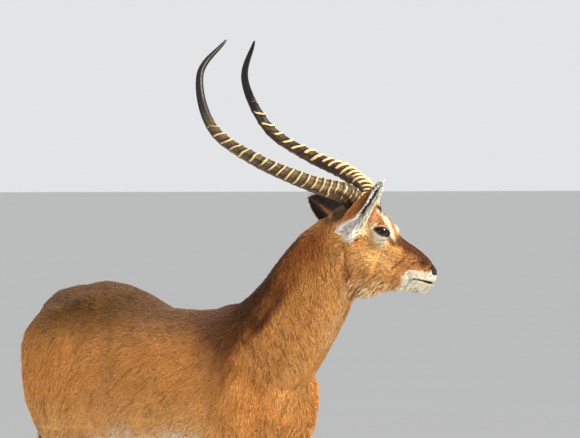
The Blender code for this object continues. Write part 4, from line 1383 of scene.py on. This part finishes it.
def put(obj, finish, slot, *nodes):
    """Gives a finished piece its material and its body, and hides the nodes that it stands for; the
    slot is not used.
    """
    obj.data.materials.clear()
    obj.data.materials.append(finish)
    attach(obj, "root")
    if nodes:
        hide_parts(*nodes)


def build_skin_and_coat():
    skin = make_skin()
    mesh = skin.data
    where = regions_of(mesh)
    colour = MarkingsAndShade(where.points, where.normals).colour
    lie = lie_of_coat(where)
    # Painted shade on the skin under the coat: darker all over, and darker still along the dark
    # streaks on the head and neck, so that the gaps between tufts show dark.
    strand = streaks(where.points, lie, 0.0030, 0.011, 41)
    dim = ease(colour.min(axis=1), 0.45, 0.25) * (0.3 * where.head + 0.3 * where.neck)
    paint(mesh, "surface_colour", colour * column(0.84 - 0.40 * dim * ease(strand, 0.42, 0.16)))
    spread = where.lid_spread()
    bare = np.clip(where.bare_nose() + ease(spread, 1.22, 1.10), 0, 1)
    paint(mesh, "bare", bare)
    put(skin, skin_finish(), "chestnut_coat", *FLESH)
    ground, plan = Ground(mesh), coat_plan(where, colour)
    gap, lips = where.mouth_gap()
    grows = (1 - lips * (np.abs(gap) < 0.0030)) * (where.nostril() < 0.05) * (bare < 0.4)
    grows *= (spread > 1.18) * (where.z > 0.046)
    tuft_finish = coat_finish()
    for name, mask, pieces in (
        ("coat_head", where.head > 0.5, 4),
        ("coat_neck", (where.neck >= 0.5) & (where.head <= 0.5), 2),
        ("coat_trunk", (where.trunk > 0.5) & (where.neck < 0.5), 5),
        ("coat_legs", where.leg >= 0.5, 2),
        ("coat_tail", where.tail > 0.5, 1),
    ):
        for piece in grow_tufts(name, ground, grows * mask, plan, lie, colour, pieces):
            put(piece, tuft_finish, "chestnut_coat")


def build_ears():
    finish, tuft_finish = skin_finish(), coat_finish()
    for side, name in SIDES:
        ear, axis = make_ear("ear_leaf_" + name, side)
        colour, inner, along, across = ear_marks(ear.data, side)
        ones = np.ones(len(colour))
        paint(ear.data, "surface_colour", colour)
        paint(ear.data, "bare", 0 * ones)
        put(ear, finish, "chestnut_coat", "ear_" + name)
        ground = Ground(ear.data)
        outwards = np.cross(axis, ground.normals) * column(across * (1 - 2 * inner))
        lie = laid_flat(unit(axis + 0.45 * outwards), ground.normals)
        edge = 0.003 * (np.abs(across) > 0.9)
        plan = {
            "length": 0.009 + 0.012 * inner * (0.3 + ease(along, 0.55, 0.20)) + edge,
            "width": 0.0014 * ones,
            "rise": 0.12 + 0.22 * inner,
            "density": 380e3 * ones - 100e3 * inner,
            "contrast": 0.35 * ones,
            "frost": 0 * ones,
            "grain": ones,
        }
        for piece in grow_tufts("coat_ear_" + name, ground, ones, plan, lie, colour):
            put(piece, tuft_finish, "chestnut_coat")


def build_hard_parts():
    greyer = tone(84, 69, 48), tone(32, 25, 18), tone(190, 158, 108), tone(18, 15, 13), 0.58
    browner = tone(68, 46, 27), tone(18, 12, 9), tone(206, 176, 124), tone(13, 11, 10), 0.52
    near, far = horn_finish("horn_grey_brown", *greyer), horn_finish("horn_dark_brown", *browner)
    eye, rim, claw = eye_finish(), rim_finish(), hoof_finish()
    for (side, name), horn in zip(SIDES, (far, near)):
        put(make_horn("ringed_horn_" + name, side), horn, "horn_sheath", "horn_" + name)
        put(make_eye("eyeball_" + name, side), eye, "eye_dark", "eye_" + name)
        put(make_lid_rim("lid_margin_" + name, side), rim, "eye_dark")
    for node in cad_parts:
        if node.startswith("hoof_"):
            put(make_hoof(node), claw, "hoof_horn", node)
    put(make_dewclaws(), claw, "hoof_horn")


# ---- floor, light and camera

CAMERA_TURN = radians(-36.0)        # round from straight in front, towards the animal's right
CAMERA_REACH, CAMERA_HEIGHT = 25.0, 1.365
CAMERA_LENS, CAMERA_SENSOR = 605.172, 36.0          # in millimetres, as Blender has them
BROW_RIGHT = 0.25051             # how far right of the view's middle the brow point shows
VIEW_DROP = 0.15641              # how far below the camera's level the view's middle lies
LIT_POINT = np.array([0, -0.1, 0.95])
# Each light: how far right of the view, towards the camera and up; its size, watts and colour.
LIGHTS = {
    "key": (3.4, 2.6, 4.6, 1.3, 830.0, (1.0, 0.92, 0.80)),
    "fill": (-3.6, 3.0, 2.4, 3.0, 110.0, (0.95, 0.97, 1.0)),
    "rim": (-1.0, -3.6, 3.6, 2.0, 90.0, (1.0, 0.97, 0.92)),
}


def aimed(obj, spot, target):
    obj.location = spot
    obj.rotation_euler = Vector(target - spot).to_track_quat("-Z", "Y").to_euler()


def build_stage():
    floor = primitive("floor", bpy.ops.mesh.primitive_plane_add, size=600.0, location=(0, 0, 0))
    made = Finish("pale_floor", Roughness=0.9, Specular_IOR_Level=0.2)
    colour = made.blend(tone(210, 209, 207), tone(206, 205, 203), made.noise(0.6, 2.0))
    floor.data.materials.append(made.feed(Base_Color=colour))

    back = np.array([sin(CAMERA_TURN), -cos(CAMERA_TURN), 0.0])
    right = np.array([cos(CAMERA_TURN), sin(CAMERA_TURN), 0.0])
    aim = BROW - BROW_RIGHT * right
    aim[2] = CAMERA_HEIGHT - VIEW_DROP
    spot = aim + CAMERA_REACH * back
    spot[2] = CAMERA_HEIGHT
    camera = made_object("camera", bpy.data.cameras.new("camera"))
    camera.data.sensor_width, camera.data.lens = CAMERA_SENSOR, CAMERA_LENS
    camera.data.clip_end = 1000.0
    aimed(camera, spot, aim)

    scene = bpy.context.scene
    scene.camera = camera
    scene.view_settings.view_transform = "Standard"
    scene.world = bpy.data.worlds.new("studio")
    scene.world.use_nodes = True
    sky = scene.world.node_tree.nodes["Background"].inputs
    sky[0].default_value, sky[1].default_value = (*tone(226, 228, 230), 1.0), 1.0
    for name, (rightward, nearer, height, size, power, colour) in LIGHTS.items():
        light = made_object(name, bpy.data.lights.new(name, "AREA"))
        light.data.energy, light.data.size, light.data.color = power, size, colour
        aimed(light, rightward * right + nearer * back + height * UP, LIT_POINT)


build_skin_and_coat()
build_ears()
build_hard_parts()
build_stage()
